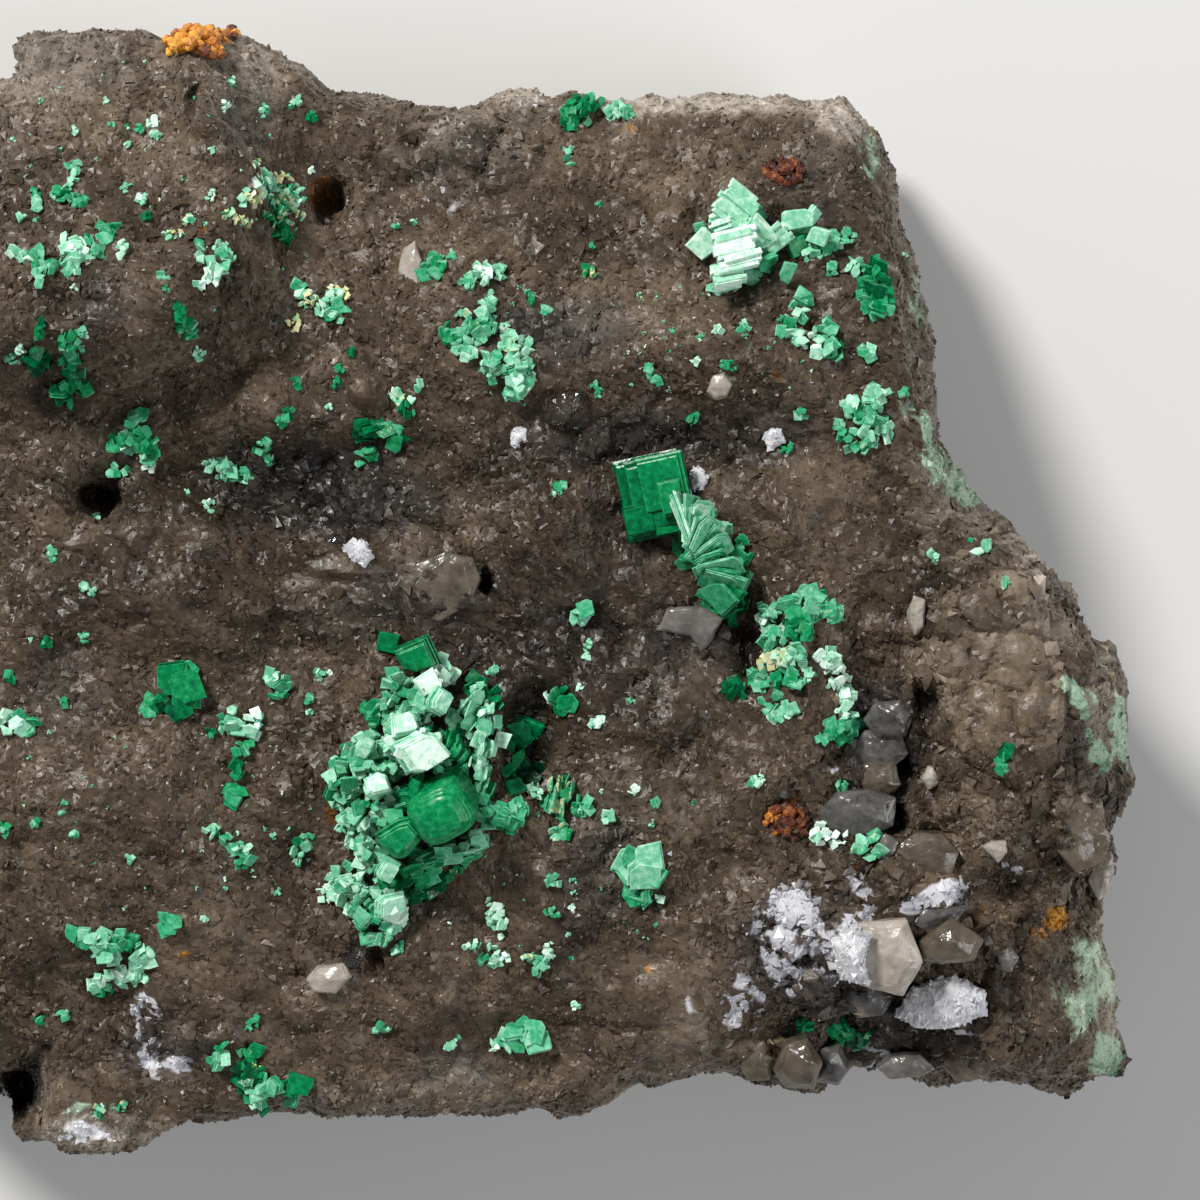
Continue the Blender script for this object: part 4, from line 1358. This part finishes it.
def make_book_and_fan():
    """The stepped book, and the rosette whose plates splay from a line like a half-opened fan."""
    slabs = Slabs()
    draw = random.Random(5)
    for row in BOOK_PLATES:
        lay_plate(slabs, draw, row, 3, False)
    first, last = FAN_HEADINGS
    for number in range(FAN_BLADES):
        share = (number + 0.5) / FAN_BLADES
        along = (share - 0.5) * FAN_LINE
        heading = math.radians(first - (first - last) * share + draw.uniform(-8, 8))
        reach = draw.uniform(0.55, 0.95)
        px = FAN_MIDDLE[0] - 8 + along * 0.22 + math.cos(heading) * reach * 16
        py = FAN_MIDDLE[1] + along * 0.72 - math.sin(heading) * reach * 12
        splay = draw.uniform(40, 72)
        row = (px, py, reach * 1.25, 0.85, 0.07, 0.75 + draw.uniform(-0.1, 0.25), splay, 0,
               math.degrees(heading), 0.82 - 0.4 * share + draw.uniform(-0.14, 0.14))
        lay_plate(slabs, draw, row, 2)
    for row in FAN_PATCHES:
        grow(slabs, draw, row)
    slabs.finish("book_and_fan", "torbernite_book_and_fan")


MINT_RIDGED = [
    (736, 205, 1.0, 0.95, 0.3, 0.9, 10, 12, -35, 0.84), (736, 250, 1.15, 1.0, 0.3, 0.85, -6, 8, 15, 0.9),
    (755, 232, 0.8, 0.7, 0.3, 0.7, 22, 18, -45, 0.8), (728, 276, 0.85, 0.65, 0.3, 0.55, -22, 4, 10, 0.84),
    (775, 238, 0.75, 0.6, 0.25, 0.6, 20, -10, 40, 0.84), (722, 222, 0.6, 0.5, 0.25, 0.7, -8, -12, 20, 0.84),
]
MINT_PLATES = [
    (703, 244, 0.72, 0.68, 0.25, 0.5, 6, -10, 40, 0.8), (797, 219, 0.8, 0.5, 0.28, 0.8, 8, 4, 4, 0.68),
    (812, 216, 0.5, 0.35, 0.2, 0.85, 40, 20, 60, 0.66), (818, 236, 0.55, 0.5, 0.25, 0.6, 20, -12, -20, 0.72),
    (797, 246, 0.5, 0.5, 0.3, 0.35, 20, 10, 20, 0.3), (788, 272, 0.36, 0.55, 0.15, 0.4, 25, 20, -15, 0.62),
    (700, 227, 0.26, 0.24, 0.15, 0.35, 10, 10, 20, 0.6), (766, 262, 0.6, 0.3, 0.2, 0.45, 50, 10, 35, 0.4),
]
MINT_PATCHES = [
    (742, 240, 0.7, 1.0, 10, 40, 0.36, 0.6, 0, 0.45), (842, 239, 0.32, 0.24, 20, 16, 0.22, 0.74, 0.1, 0.15),
    (826, 247, 0.24, 0.2, 0, 10, 0.24, 0.66), (833, 269, 0.13, 0.2, 10, 5, 0.22, 0.64),
    (812, 255, 0.25, 0.16, 0, 8, 0.2, 0.82), (800, 232, 0.45, 0.3, 0, 14, 0.32, 0.5, 0, 0.3),
    (722, 286, 0.45, 0.14, 10, 12, 0.24, 0.72, 0, 0.2), (765, 250, 0.4, 0.2, 30, 10, 0.3, 0.34, 0, 0.2),
]


def make_mint_fan():
    slabs = Slabs()
    draw = random.Random(8)
    for row in MINT_PATCHES:
        grow(slabs, draw, row)
    for row in MINT_RIDGED:
        lay_ridged(slabs, draw, row)
    for row in MINT_PLATES:
        lay_plate(slabs, draw, row, 2)
    slabs.finish("mint_fan", "torbernite_mint_fan")


make_tiny_square()
make_main_cluster()
make_book_and_fan()
make_mint_fan()


# Small flakes that have no solid of their own: px, py, half size in mm, pale, crust
FLAKES = [
    (231, 81, 0.14, 0.74, 0), (224, 106, 0.15, 0.72, 0), (264, 111, 0.14, 0.72, 0),
    (296, 103, 0.18, 0.66, 0), (311, 116, 0.14, 0.4, 0), (312, 170, 0.1, 0.85, 0), (105, 101, 0.09, 0.78, 0),
    (41, 102, 0.09, 0.66, 0), (75, 131, 0.11, 0.66, 0), (112, 125, 0.08, 0.85, 0), (127, 127, 0.09, 0.74, 0),
    (140, 130, 0.13, 0.66, 0), (153, 123, 0.15, 0.84, 0), (158, 137, 0.13, 0.7, 0.1),
    (127, 145, 0.1, 0.62, 0), (213, 150, 0.11, 0.7, 0), (126, 189, 0.12, 0.6, 0), (143, 199, 0.15, 0.6, 0),
    (147, 216, 0.12, 0.3, 0), (76, 287, 0.11, 0.85, 0.3), (190, 219, 0.14, 0.74, 0.5),
    (170, 235, 0.18, 0.74, 0.6), (182, 234, 0.1, 0.74, 0.6), (200, 245, 0.14, 0.62, 0.2),
    (200, 257, 0.13, 0.68, 0.1), (163, 277, 0.14, 0.54, 0), (166, 289, 0.09, 0.4, 0),
    (212, 196, 0.14, 0.72, 0.3), (199, 352, 0.16, 0.66, 0), (82, 331, 0.16, 0.74, 0),
    (22, 348, 0.13, 0.86, 0), (12, 358, 0.18, 0.74, 0.3), (351, 353, 0.13, 0.3, 0),
    (341, 368, 0.13, 0.42, 0), (337, 382, 0.15, 0.3, 0), (296, 382, 0.15, 0.34, 0),
    (330, 407, 0.1, 0.72, 0.3), (287, 415, 0.2, 0.5, 0), (281, 421, 0.13, 0.42, 0), (263, 448, 0.24, 0.5, 0),
    (268, 458, 0.14, 0.62, 0), (209, 505, 0.18, 0.66, 0.1), (187, 491, 0.08, 0.7, 0),
    (97, 517, 0.11, 0.8, 0.1), (52, 552, 0.12, 0.6, 0), (53, 560, 0.11, 0.5, 0), (85, 588, 0.12, 0.7, 0),
    (93, 592, 0.11, 0.6, 0), (85, 636, 0.13, 0.5, 0.1), (47, 642, 0.14, 0.42, 0), (9, 675, 0.16, 0.3, 0),
    (64, 703, 0.12, 0.3, 0), (64, 803, 0.1, 0.5, 0), (62, 812, 0.09, 0.5, 0), (310, 700, 0.13, 0.5, 0),
    (311, 712, 0.11, 0.5, 0), (320, 674, 0.14, 0.66, 0), (329, 672, 0.09, 0.8, 0), (3, 826, 0.18, 0.25, 0),
    (36, 823, 0.12, 0.66, 0), (74, 833, 0.12, 0.5, 0), (274, 836, 0.1, 0.76, 0.1),
    (130, 859, 0.12, 0.78, 0.2), (205, 920, 0.11, 0.72, 0), (64, 1013, 0.17, 0.52, 0),
    (41, 1020, 0.13, 0.4, 0), (255, 1021, 0.14, 0.42, 0), (249, 1027, 0.1, 0.5, 0), (278, 892, 0.1, 0.6, 0),
    (400, 947, 0.16, 0.46, 0), (380, 1026, 0.18, 0.56, 0), (450, 1046, 0.13, 0.62, 0.2),
    (457, 1038, 0.1, 0.66, 0), (493, 670, 0.15, 0.72, 0), (588, 645, 0.12, 0.7, 0),
    (586, 656, 0.12, 0.66, 0), (580, 687, 0.1, 0.8, 0), (597, 723, 0.17, 0.86, 0), (632, 700, 0.1, 0.74, 0),
    (635, 790, 0.13, 0.8, 0), (656, 803, 0.12, 0.5, 0), (652, 824, 0.11, 0.5, 0), (693, 803, 0.07, 0.5, 0),
    (552, 879, 0.24, 0.56, 0), (574, 880, 0.11, 0.5, 0), (574, 892, 0.09, 0.6, 0),
    (552, 912, 0.17, 0.66, 0.5), (572, 908, 0.1, 0.84, 0), (460, 869, 0.18, 0.3, 0.4),
    (576, 1006, 0.12, 0.76, 0.1), (531, 297, 0.16, 0.4, 0), (546, 311, 0.13, 0.68, 0),
    (590, 273, 0.2, 0.26, 0.4), (596, 386, 0.16, 0.52, 0), (598, 395, 0.1, 0.52, 0),
    (650, 372, 0.14, 0.46, 0), (657, 380, 0.12, 0.46, 0), (695, 361, 0.12, 0.76, 0.3),
    (728, 366, 0.19, 0.46, 0), (718, 331, 0.12, 0.68, 0), (745, 326, 0.16, 0.64, 0),
    (745, 336, 0.09, 0.58, 0), (800, 413, 0.14, 0.54, 0), (694, 416, 0.15, 0.36, 0),
    (788, 449, 0.17, 0.32, 0), (840, 786, 0.12, 0.5, 0), (755, 781, 0.14, 0.78, 0), (762, 778, 0.1, 0.76, 0),
    (628, 700, 0.07, 0.7, 0), (415, 222, 0.1, 0.62, 0.3), (397, 226, 0.1, 0.5, 0.2),
    (592, 246, 0.09, 0.5, 0), (600, 205, 0.1, 0.5, 0), (560, 487, 0.14, 0.5, 0.1),
    (553, 495, 0.11, 0.7, 0.1), (30, 640, 0.07, 0.8, 0), (905, 392, 0.12, 0.5, 0), (877, 258, 0.1, 0.5, 0),
    (905, 255, 0.09, 0.6, 0.1), (1006, 582, 0.14, 0.6, 0.2), (936, 558, 0.1, 0.5, 0),
    (700, 338, 0.1, 0.66, 0.2), (672, 330, 0.08, 0.66, 0.3), (640, 296, 0.09, 0.6, 0.5),
    (610, 305, 0.09, 0.6, 0.2), (100, 1110, 0.2, 0.5, 0.4), (122, 1106, 0.14, 0.5, 0.3),
    (60, 150, 0.07, 0.7, 0), (182, 178, 0.07, 0.7, 0.3), (96, 160, 0.06, 0.7, 0), (14, 140, 0.07, 0.66, 0),
    (250, 150, 0.07, 0.7, 0.3),
]

# Flakes strewn at random in ellipses: px, py and half sizes in mm
STRAY_FLAKES = 150
STRAY_ZONES = [
    (160, 200, 4.0, 3.6), (640, 350, 4.6, 2.2), (200, 800, 4.6, 3.0), (560, 880, 3.2, 2.4),
]


def make_flakes():
    slabs = Slabs()
    draw = random.Random(14)
    strays = []
    for _ in range(STRAY_FLAKES):
        px, py, _ = ellipse_place(draw, *draw.choice(STRAY_ZONES))
        strays.append((px, py, draw.uniform(0.03, 0.06), draw.uniform(0.5, 0.85), draw.choice((0, 0, 0.4))))
    for px, py, half, pale, crust in FLAKES + strays:
        plates = 2 + int(half * 22)
        side = max(half * 1.05, 0.05) if half < 0.12 else 0.17
        grow(slabs, draw, (px, py, half, half * draw.uniform(0.5, 0.9), draw.uniform(0, 180), plates, side,
                           pale, crust, half * 0.5, 60, 0.4))
    slabs.finish("torbernite_flakes")


make_flakes()


# Larger quartz

class Block(NamedTuple):
    """An angular piece of quartz: its outline in the photograph, and its height and tilt."""

    name: str
    rise: float           # mm that its top stands out of the rock
    lean: tuple           # mm of extra height at the outline's left, right and upper side
    peak: tuple           # where its top facets meet, as a share of the outline's box
    material: bpy.types.Material
    inset: float          # share of the way to the middle that the top's rim is drawn in
    sink: float           # mm that its foot stands in the rock
    node: str             # the solid that it stands for, or None
    outline: list


BLOCKS = [
    ("pale_block", 0.8, (0, 0.3, 0.2), (0.62, 0.45), BEIGE, 0.24, 0.5, "quartz_block_trio",
     [(833, 941), (862, 921), (905, 918), (921, 958), (900, 992), (862, 983), (838, 975)]),
    ("brown_block", 0.8, (0.2, 0, 0.2), (0.5, 0.4), BROWN, 0.24, 0.5, "quartz_block_trio",
     [(918, 940), (950, 916), (980, 936), (972, 958), (938, 962), (920, 958)]),
    ("frosted_block", 0.75, (0, 0.2, 0.3), (0.5, 0.4), FROSTED, 0.24, 0.5, "quartz_block_trio",
     [(896, 1012), (912, 988), (950, 974), (982, 990), (984, 1012), (950, 1026), (915, 1024)]),
    ("pale_block_frost", 0.82, (0, 0.15, 0.2), (0.5, 0.5), FROSTED, 0.24, 0.5, None,
     [(831, 942), (852, 926), (868, 932), (862, 958), (866, 980), (842, 976)]),
    ("white_flake", 0.35, (0, 0.1, 0.1), (0.6, 0.5), FROSTED, 0.1, 0.2, "quartz_white_flake",
     [(343, 549), (352, 540), (366, 543), (373, 556), (365, 570), (353, 566)]),
    ("grey_flake_beside_white", 0.3, (0, 0.05, 0.1), (0.4, 0.5), CLEAR, 0.12, 0.2, None,
     [(323, 541), (338, 534), (347, 541), (342, 553), (327, 552)]),
    ("pale_fragment", 0.55, (0, 0.15, 0.1), (0.55, 0.45), CLEAR, 0.12, 0.3, "quartz_pale_fragment",
     [(541, 419), (549, 400), (566, 390), (585, 392), (583, 408), (562, 427), (548, 425)]),
    ("grey_flake", 0.3, (0, 0.1, 0.2), (0.6, 0.3), GREY, 0.1, 0.3, "quartz_grey_flake",
     [(655, 630), (668, 608), (702, 606), (722, 618), (712, 640), (700, 654), (690, 636)]),
    ("lens", 0.3, (0, 0.05, 0.12), (0.5, 0.45), UMBER, 0.3, 0.5, "quartz_lens",
     [(400, 588), (414, 565), (445, 552), (474, 558), (482, 580), (470, 604), (440, 622), (410, 612)]),
    ("pocket_crystal_upper", 0.5, (0, 0.1, 0.2), (0.5, 0.3), SMOKY, 0.24, 0.5, "quartz_dark_pocket_crystal",
     [(862, 720), (874, 702), (902, 700), (914, 714), (906, 736), (876, 740)]),
    ("pocket_crystal_middle", 0.35, (0, 0.1, 0.1), (0.5, 0.4), SMOKY, 0.24, 0.5, "quartz_dark_pocket_crystal",
     [(848, 752), (864, 730), (902, 732), (908, 754), (886, 772), (858, 770)]),
    ("pocket_crystal_lower", 0.5, (0, 0.1, 0.2), (0.5, 0.4), SMOKY, 0.24, 0.5, "quartz_dark_pocket_crystal",
     [(816, 814), (836, 792), (868, 788), (894, 796), (892, 824), (860, 838), (828, 832)]),
    ("pocket_crystal_brown", 0.45, (0, 0.1, 0.1), (0.6, 0.5), UMBER, 0.24, 0.5, None,
     [(852, 784), (862, 762), (892, 760), (900, 784), (876, 802)]),
    ("dark_point_left", 0.9, (0, 0.1, 0.3), (0.6, 0.35), UMBER, 0.24, 0.5, "quartz_dark_point",
     [(772, 1068), (784, 1040), (806, 1034), (820, 1058), (812, 1084), (786, 1088)]),
    ("dark_point_right", 0.8, (0, 0.1, 0.3), (0.4, 0.35), SMOKY, 0.24, 0.5, "quartz_dark_point",
     [(812, 1080), (820, 1048), (838, 1040), (848, 1062), (838, 1086)]),
    ("silver_hexagon", 0.35, (0, 0.1, 0.1), (0.5, 0.5), FROSTED, 0.12, 0.2, None,
     [(688, 478), (694, 468), (705, 470), (708, 482), (702, 492), (691, 490)]),
    ("sparkling_grain", 0.3, (0, 0, 0.1), (0.5, 0.5), FROSTED, 0.15, 0.2, None,
     [(510, 434), (516, 427), (527, 429), (529, 441), (521, 449), (511, 446)]),
    ("beige_block_left", 0.5, (0, 0.1, 0.1), (0.5, 0.5), BEIGE, 0.14, 0.3, None,
     [(307, 978), (318, 966), (344, 962), (352, 976), (336, 994), (314, 990)]),
    ("beige_block_right", 0.5, (0, 0.1, 0.1), (0.5, 0.4), CLEAR, 0.14, 0.3, None,
     [(342, 962), (352, 944), (368, 942), (368, 956), (356, 970)]),
    ("smooth_crystal_right", 0.3, (0, 0.1, 0.12), (0.55, 0.45), UMBER, 0.3, 0.3, None,
     [(892, 866), (897, 845), (916, 831), (941, 832), (957, 852), (951, 875), (922, 883)]),
    ("smooth_crystal_left", 0.25, (0, 0.05, 0.1), (0.5, 0.4), GREY, 0.3, 0.3, None,
     [(872, 850), (884, 832), (898, 842), (893, 862), (880, 866)]),
    ("rim_crystal_upper", 0.3, (0, 0, 0.15), (0.5, 0.5), BROWN, 0.34, 0.4, None,
     [(1042, 830), (1052, 802), (1076, 792), (1096, 816), (1112, 836), (1104, 860), (1074, 872)]),
    ("rim_crystal_lower", 0.3, (0, 0, 0.1), (0.5, 0.5), BEIGE, 0.3, 0.4, None,
     [(1088, 880), (1097, 856), (1110, 852), (1117, 872), (1110, 894), (1096, 900)]),
    ("grey_crystal_by_amber", 0.3, (0, 0, 0.1), (0.5, 0.4), GREY, 0.24, 0.3, None,
     [(988, 966), (994, 948), (1008, 943), (1018, 956), (1010, 972)]),
    ("dark_lens_over_brown", 0.35, (0, 0, 0.1), (0.5, 0.4), SMOKY, 0.2, 0.4, None,
     [(908, 926), (922, 909), (948, 908), (966, 905), (956, 922), (930, 934)]),
    ("brown_point_low", 0.4, (0, 0, 0.2), (0.5, 0.35), UMBER, 0.24, 0.4, None,
     [(738, 1064), (747, 1044), (764, 1040), (776, 1058), (768, 1078), (748, 1078)]),
    ("dark_crystal_low", 0.3, (0, 0, 0.1), (0.5, 0.4), SMOKY, 0.24, 0.4, None,
     [(838, 1000), (850, 984), (874, 982), (896, 996), (882, 1014), (856, 1016)]),
    ("brown_crystal_low", 0.3, (0, 0, 0.15), (0.5, 0.4), UMBER, 0.3, 0.4, None,
     [(940, 1062), (956, 1042), (984, 1040), (1000, 1058), (984, 1076), (956, 1080)]),
    ("grey_crystal_low", 0.3, (0, 0, 0.15), (0.5, 0.4), GREY, 0.3, 0.4, None,
     [(880, 1070), (892, 1054), (918, 1052), (934, 1066), (918, 1080), (892, 1082)]),
    ("white_chip_right", 0.35, (0, 0.1, 0.1), (0.5, 0.4), BEIGE, 0.1, 0.2, None,
     [(980, 846), (988, 838), (1006, 840), (1006, 852), (996, 862)]),
    ("mass_chip_upper", 0.4, (0, 0.1, 0.1), (0.5, 0.4), BEIGE, 0.14, 0.3, None,
     [(906, 612), (914, 596), (926, 600), (924, 628), (914, 636)]),
    ("mass_chip_lower", 0.4, (0, 0.1, 0.1), (0.5, 0.4), BEIGE, 0.14, 0.3, None,
     [(920, 778), (928, 766), (942, 766), (940, 784), (928, 790)]),
    ("flat_crystal_behind", 0.4, (0, 0.2, 0), (0.6, 0.4), BEIGE, 0.12, 0.3, None,
     [(403, 250), (416, 243), (422, 262), (417, 290), (404, 292), (398, 270)]),
    ("pale_crystal_upper", 0.4, (0, 0.1, 0.1), (0.4, 0.5), BEIGE, 0.14, 0.3, None,
     [(706, 392), (712, 376), (724, 374), (732, 386), (726, 398), (714, 400)]),
    ("grey_sparkle_upper", 0.3, (0, 0.1, 0.1), (0.5, 0.5), FROSTED, 0.14, 0.2, None,
     [(764, 436), (770, 428), (782, 430), (784, 442), (776, 448), (766, 446)]),
]


SUGAR_PER_MM2 = 70
SUGAR_RANGE = (0.03, 0.18)     # mm


def add_sugar(crystal):
    """Covers a frosted crystal with fine quartz points."""
    draw = np.random.default_rng(11)

    def density(middle, normal):
        return np.where(normal[:, 2] > 0, SUGAR_PER_MM2, 0)

    spots, normals = scatter(draw, crystal.data, density)
    radius = np.clip(draw.lognormal(math.log(GRAIN_RADIUS), 0.4, len(spots)), *SUGAR_RANGE) * MM
    mesh = grain_mesh(crystal.name + "_sugar", grain_shapes(draw, spots, normals, radius))
    link(mesh.name, mesh, FROSTED)


def settled_mesh(name, edit):
    """A mesh of what was edited, with its corners and faces in the same order in every run."""
    corners = sorted(edit.verts, key=lambda corner: corner.co[:])
    order = {corner: i for i, corner in enumerate(corners)}
    faces = []
    for face in edit.faces:
        loop = [order[corner] for corner in face.verts]
        first = loop.index(min(loop))
        faces.append(loop[first:] + loop[:first])
    faces.sort()
    coords = [corner.co[:] for corner in corners]
    mesh = array_mesh(name, coords, [i for face in faces for i in face], [len(face) for face in faces])
    mesh.shade_flat()
    return mesh


BLOCK_SLOPE = 0.4     # mm that a block's foot may stand above or below the middle
BLOCK_DROP = 0.25     # mm that the rim of its top is lower than its rise
BLOCK_PEAK = 0.3      # height of its peak above that rim, as a share of its rise
BLOCK_BEVEL = 0.025   # mm
BLOCK_DENTS = [(0.5, 0.035), (0.15, 0.02)]     # size and depth of the dents in its faces, in mm


def roughen(edit):
    """Bevels the edges and dents the faces."""
    bmesh.ops.recalc_face_normals(edit, faces=edit.faces)
    bmesh.ops.bevel(edit, geom=list(edit.edges), offset=BLOCK_BEVEL * MM, segments=1, affect="EDGES",
                    clamp_overlap=True)
    bmesh.ops.triangulate(edit, faces=edit.faces)
    bmesh.ops.subdivide_edges(edit, edges=edit.edges, cuts=3, use_grid_fill=True)
    for corner in edit.verts:
        for size, depth in BLOCK_DENTS:
            corner.co += noise.noise_vector(corner.co / (size * MM)) * depth * MM


def make_block(row):
    """A faceted stump: a ring sunk in the rock, a shoulder and a top whose facets meet at one peak."""
    block = Block(*row)
    draw = random.Random(block.name)
    xs, ys = [p[0] for p in block.outline], [p[1] for p in block.outline]
    centre = Vector((sum(xs) / len(xs), sum(ys) / len(ys)))
    levels = np.array([seat(px, py)[0].z for px, py in block.outline])
    base = float(np.median(levels))
    levels = np.clip(levels, base - BLOCK_SLOPE * MM, base + BLOCK_SLOPE * MM)
    places = level_places(np.array(block.outline, float), levels)
    spots = [Vector((x, y, z)) for (x, y), z in zip(places, levels)]
    middle = sum(spots, Vector()) / len(spots)
    edit = bmesh.new()
    rings = [[], [], []]
    left, right, upper = block.lean
    for (px, py), spot in zip(block.outline, spots):
        u = (px - min(xs)) / (max(xs) - min(xs))
        v = (py - min(ys)) / (max(ys) - min(ys))
        extra = left * (1 - u) + right * u + upper * (1 - v)
        outward = Vector((spot.x - middle.x, spot.y - middle.y, 0))
        top = base + (block.rise + extra - BLOCK_DROP) * MM
        foot = spot.xy + outward.xy * 0.05
        rings[0].append(edit.verts.new((*foot, min(spot.z, base) - block.sink * MM)))
        rings[1].append(edit.verts.new((*spot.xy, top - (0.18 + draw.uniform(0, 0.15)) * block.rise * MM)))
        rim = spot.xy - outward.xy * block.inset * draw.uniform(0.7, 1.6)
        rings[2].append(edit.verts.new((*rim, top)))
    peak_px = min(xs) + block.peak[0] * (max(xs) - min(xs))
    peak_py = min(ys) + block.peak[1] * (max(ys) - min(ys))
    aim = middle.xy + (Vector((peak_px, peak_py)) - centre) * PIXEL * Vector((1, -1))
    top = sum(v.co.z for v in rings[2]) / len(rings[2])
    peak = edit.verts.new((*aim, top + BLOCK_PEAK * block.rise * MM))
    count = len(block.outline)
    for low, high in zip(rings, rings[1:]):
        for i in range(count):
            after = (i + 1) % count
            edit.faces.new((low[i], low[after], high[after], high[i]))
    for i in range(count):
        edit.faces.new((rings[2][i], rings[2][(i + 1) % count], peak))
    edit.faces.new(rings[0])
    roughen(edit)
    frosted = block.material == FROSTED
    made = link(block.name, settled_mesh(block.name, edit), block.material)
    edit.free()
    if block.node:
        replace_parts(made, block.node)
    if frosted:
        add_sugar(made)


for block_row in BLOCKS:
    make_block(block_row)


# Iron oxide crusts

IRON_REACH = 0.3      # mm that the middle of a knob may stand from the rock
IRON_MOUND = 0.35     # mm that a heap rises in its middle

# By the name of the solid: px, py, half sizes in mm, knobs, knob size in mm and brightness of each heap
IRON = {
    "top_lump": [(200, 34, 0.95, 0.45, 110, 0.17, 0.28), (178, 40, 0.4, 0.35, 40, 0.15, 0.4),
                 (225, 30, 0.4, 0.25, 30, 0.15, 0.05)],
    "upper_crust": [(784, 172, 0.48, 0.3, 60, 0.15, -0.05)],
    "pocket_crust": [(788, 820, 0.55, 0.45, 80, 0.15, -0.08), (772, 822, 0.2, 0.3, 16, 0.12, 0.2)],
}


def make_iron():
    """Knobbly crusts of small rounded grains."""
    for name, heaps in IRON.items():
        draw = random.Random(name)
        edit = bmesh.new()
        paleness = []
        for px, py, half_length, half_width, knobs, size, bright in heaps:
            for _ in range(knobs):
                at_px, at_py, out = ellipse_place(draw, px, py, half_length, half_width)
                spot, _ = seat(at_px, at_py)
                place = level_places(np.array([[at_px, at_py]]), np.array([spot.z]))[0]
                spot = Vector((*place, spot.z + (1 - out) * IRON_MOUND * MM))
                foot, _, _, gap = ROCK_TREE.find_nearest(spot)
                spot = foot + (spot - foot) * min(1, IRON_REACH * MM / max(gap, 1e-9))
                radius = size * draw.uniform(0.6, 1.3) * MM
                old = len(edit.verts)
                turn = Euler([draw.uniform(0, math.tau) for _ in range(3)]).to_matrix().to_4x4()
                stretch = Matrix.Diagonal((1, draw.uniform(0.6, 1), draw.uniform(0.5, 0.9), 1))
                bmesh.ops.create_icosphere(edit, subdivisions=1, radius=radius,
                                           matrix=Matrix.Translation(spot) @ turn @ stretch)
                paleness += [bright + draw.uniform(-0.08, 0.08)] * (len(edit.verts) - old)
        mesh = bpy.data.meshes.new(name)
        edit.to_mesh(mesh)
        edit.free()
        put_attribute(mesh, "pale", paleness)
        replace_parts(link(name, mesh, RUST), "iron_oxide_" + name)


make_iron()


# Stage and light

FLOOR_SIZE = 3.0
LIT_POINT = Vector((0.003, 0, 0.008))
SKY_STRENGTH = 0.27


def make_stage():
    material = Tree("floor")
    shade = material.ramp(material.noise(40, 2), [(0.3, (0.6, 0.595, 0.585)), (0.7, (0.63, 0.625, 0.615))])
    material.feed(material.shader, {"Base Color": shade, "Roughness": 0.8})
    mesh = bpy.data.meshes.new("floor")
    edit = bmesh.new()
    bmesh.ops.create_grid(edit, x_segments=1, y_segments=1, size=FLOOR_SIZE)
    edit.to_mesh(mesh)
    edit.free()
    mesh.materials.append(material.material)
    floor = bpy.data.objects.new("floor", mesh)
    bpy.context.scene.collection.objects.link(floor)


def add_area(name, place, size, power, colour):
    data = bpy.data.lights.new(name, "AREA")
    data.shape = "DISK"
    data.size = size
    data.energy = power
    data.color = colour
    lamp = bpy.data.objects.new(name, data)
    lamp.location = place
    lamp.rotation_euler = (LIT_POINT - Vector(place)).to_track_quat("-Z", "Y").to_euler()
    bpy.context.scene.collection.objects.link(lamp)


def make_light():
    world = bpy.data.worlds.new("studio")
    world.use_nodes = True
    background = world.node_tree.nodes["Background"]
    background.inputs["Color"].default_value = (0.95, 0.97, 1.0, 1)
    background.inputs["Strength"].default_value = SKY_STRENGTH
    bpy.context.scene.world = world
    add_area("key", (-0.13, 0.16, 0.2), size=0.06, power=1.0, colour=(1.0, 0.98, 0.95))
    add_area("fill", (0.2, -0.08, 0.16), size=0.16, power=0.3, colour=(0.97, 0.98, 1.0))
    view = bpy.context.scene.view_settings
    view.view_transform = "Standard"
    view.look = "None"


make_stage()
make_light()
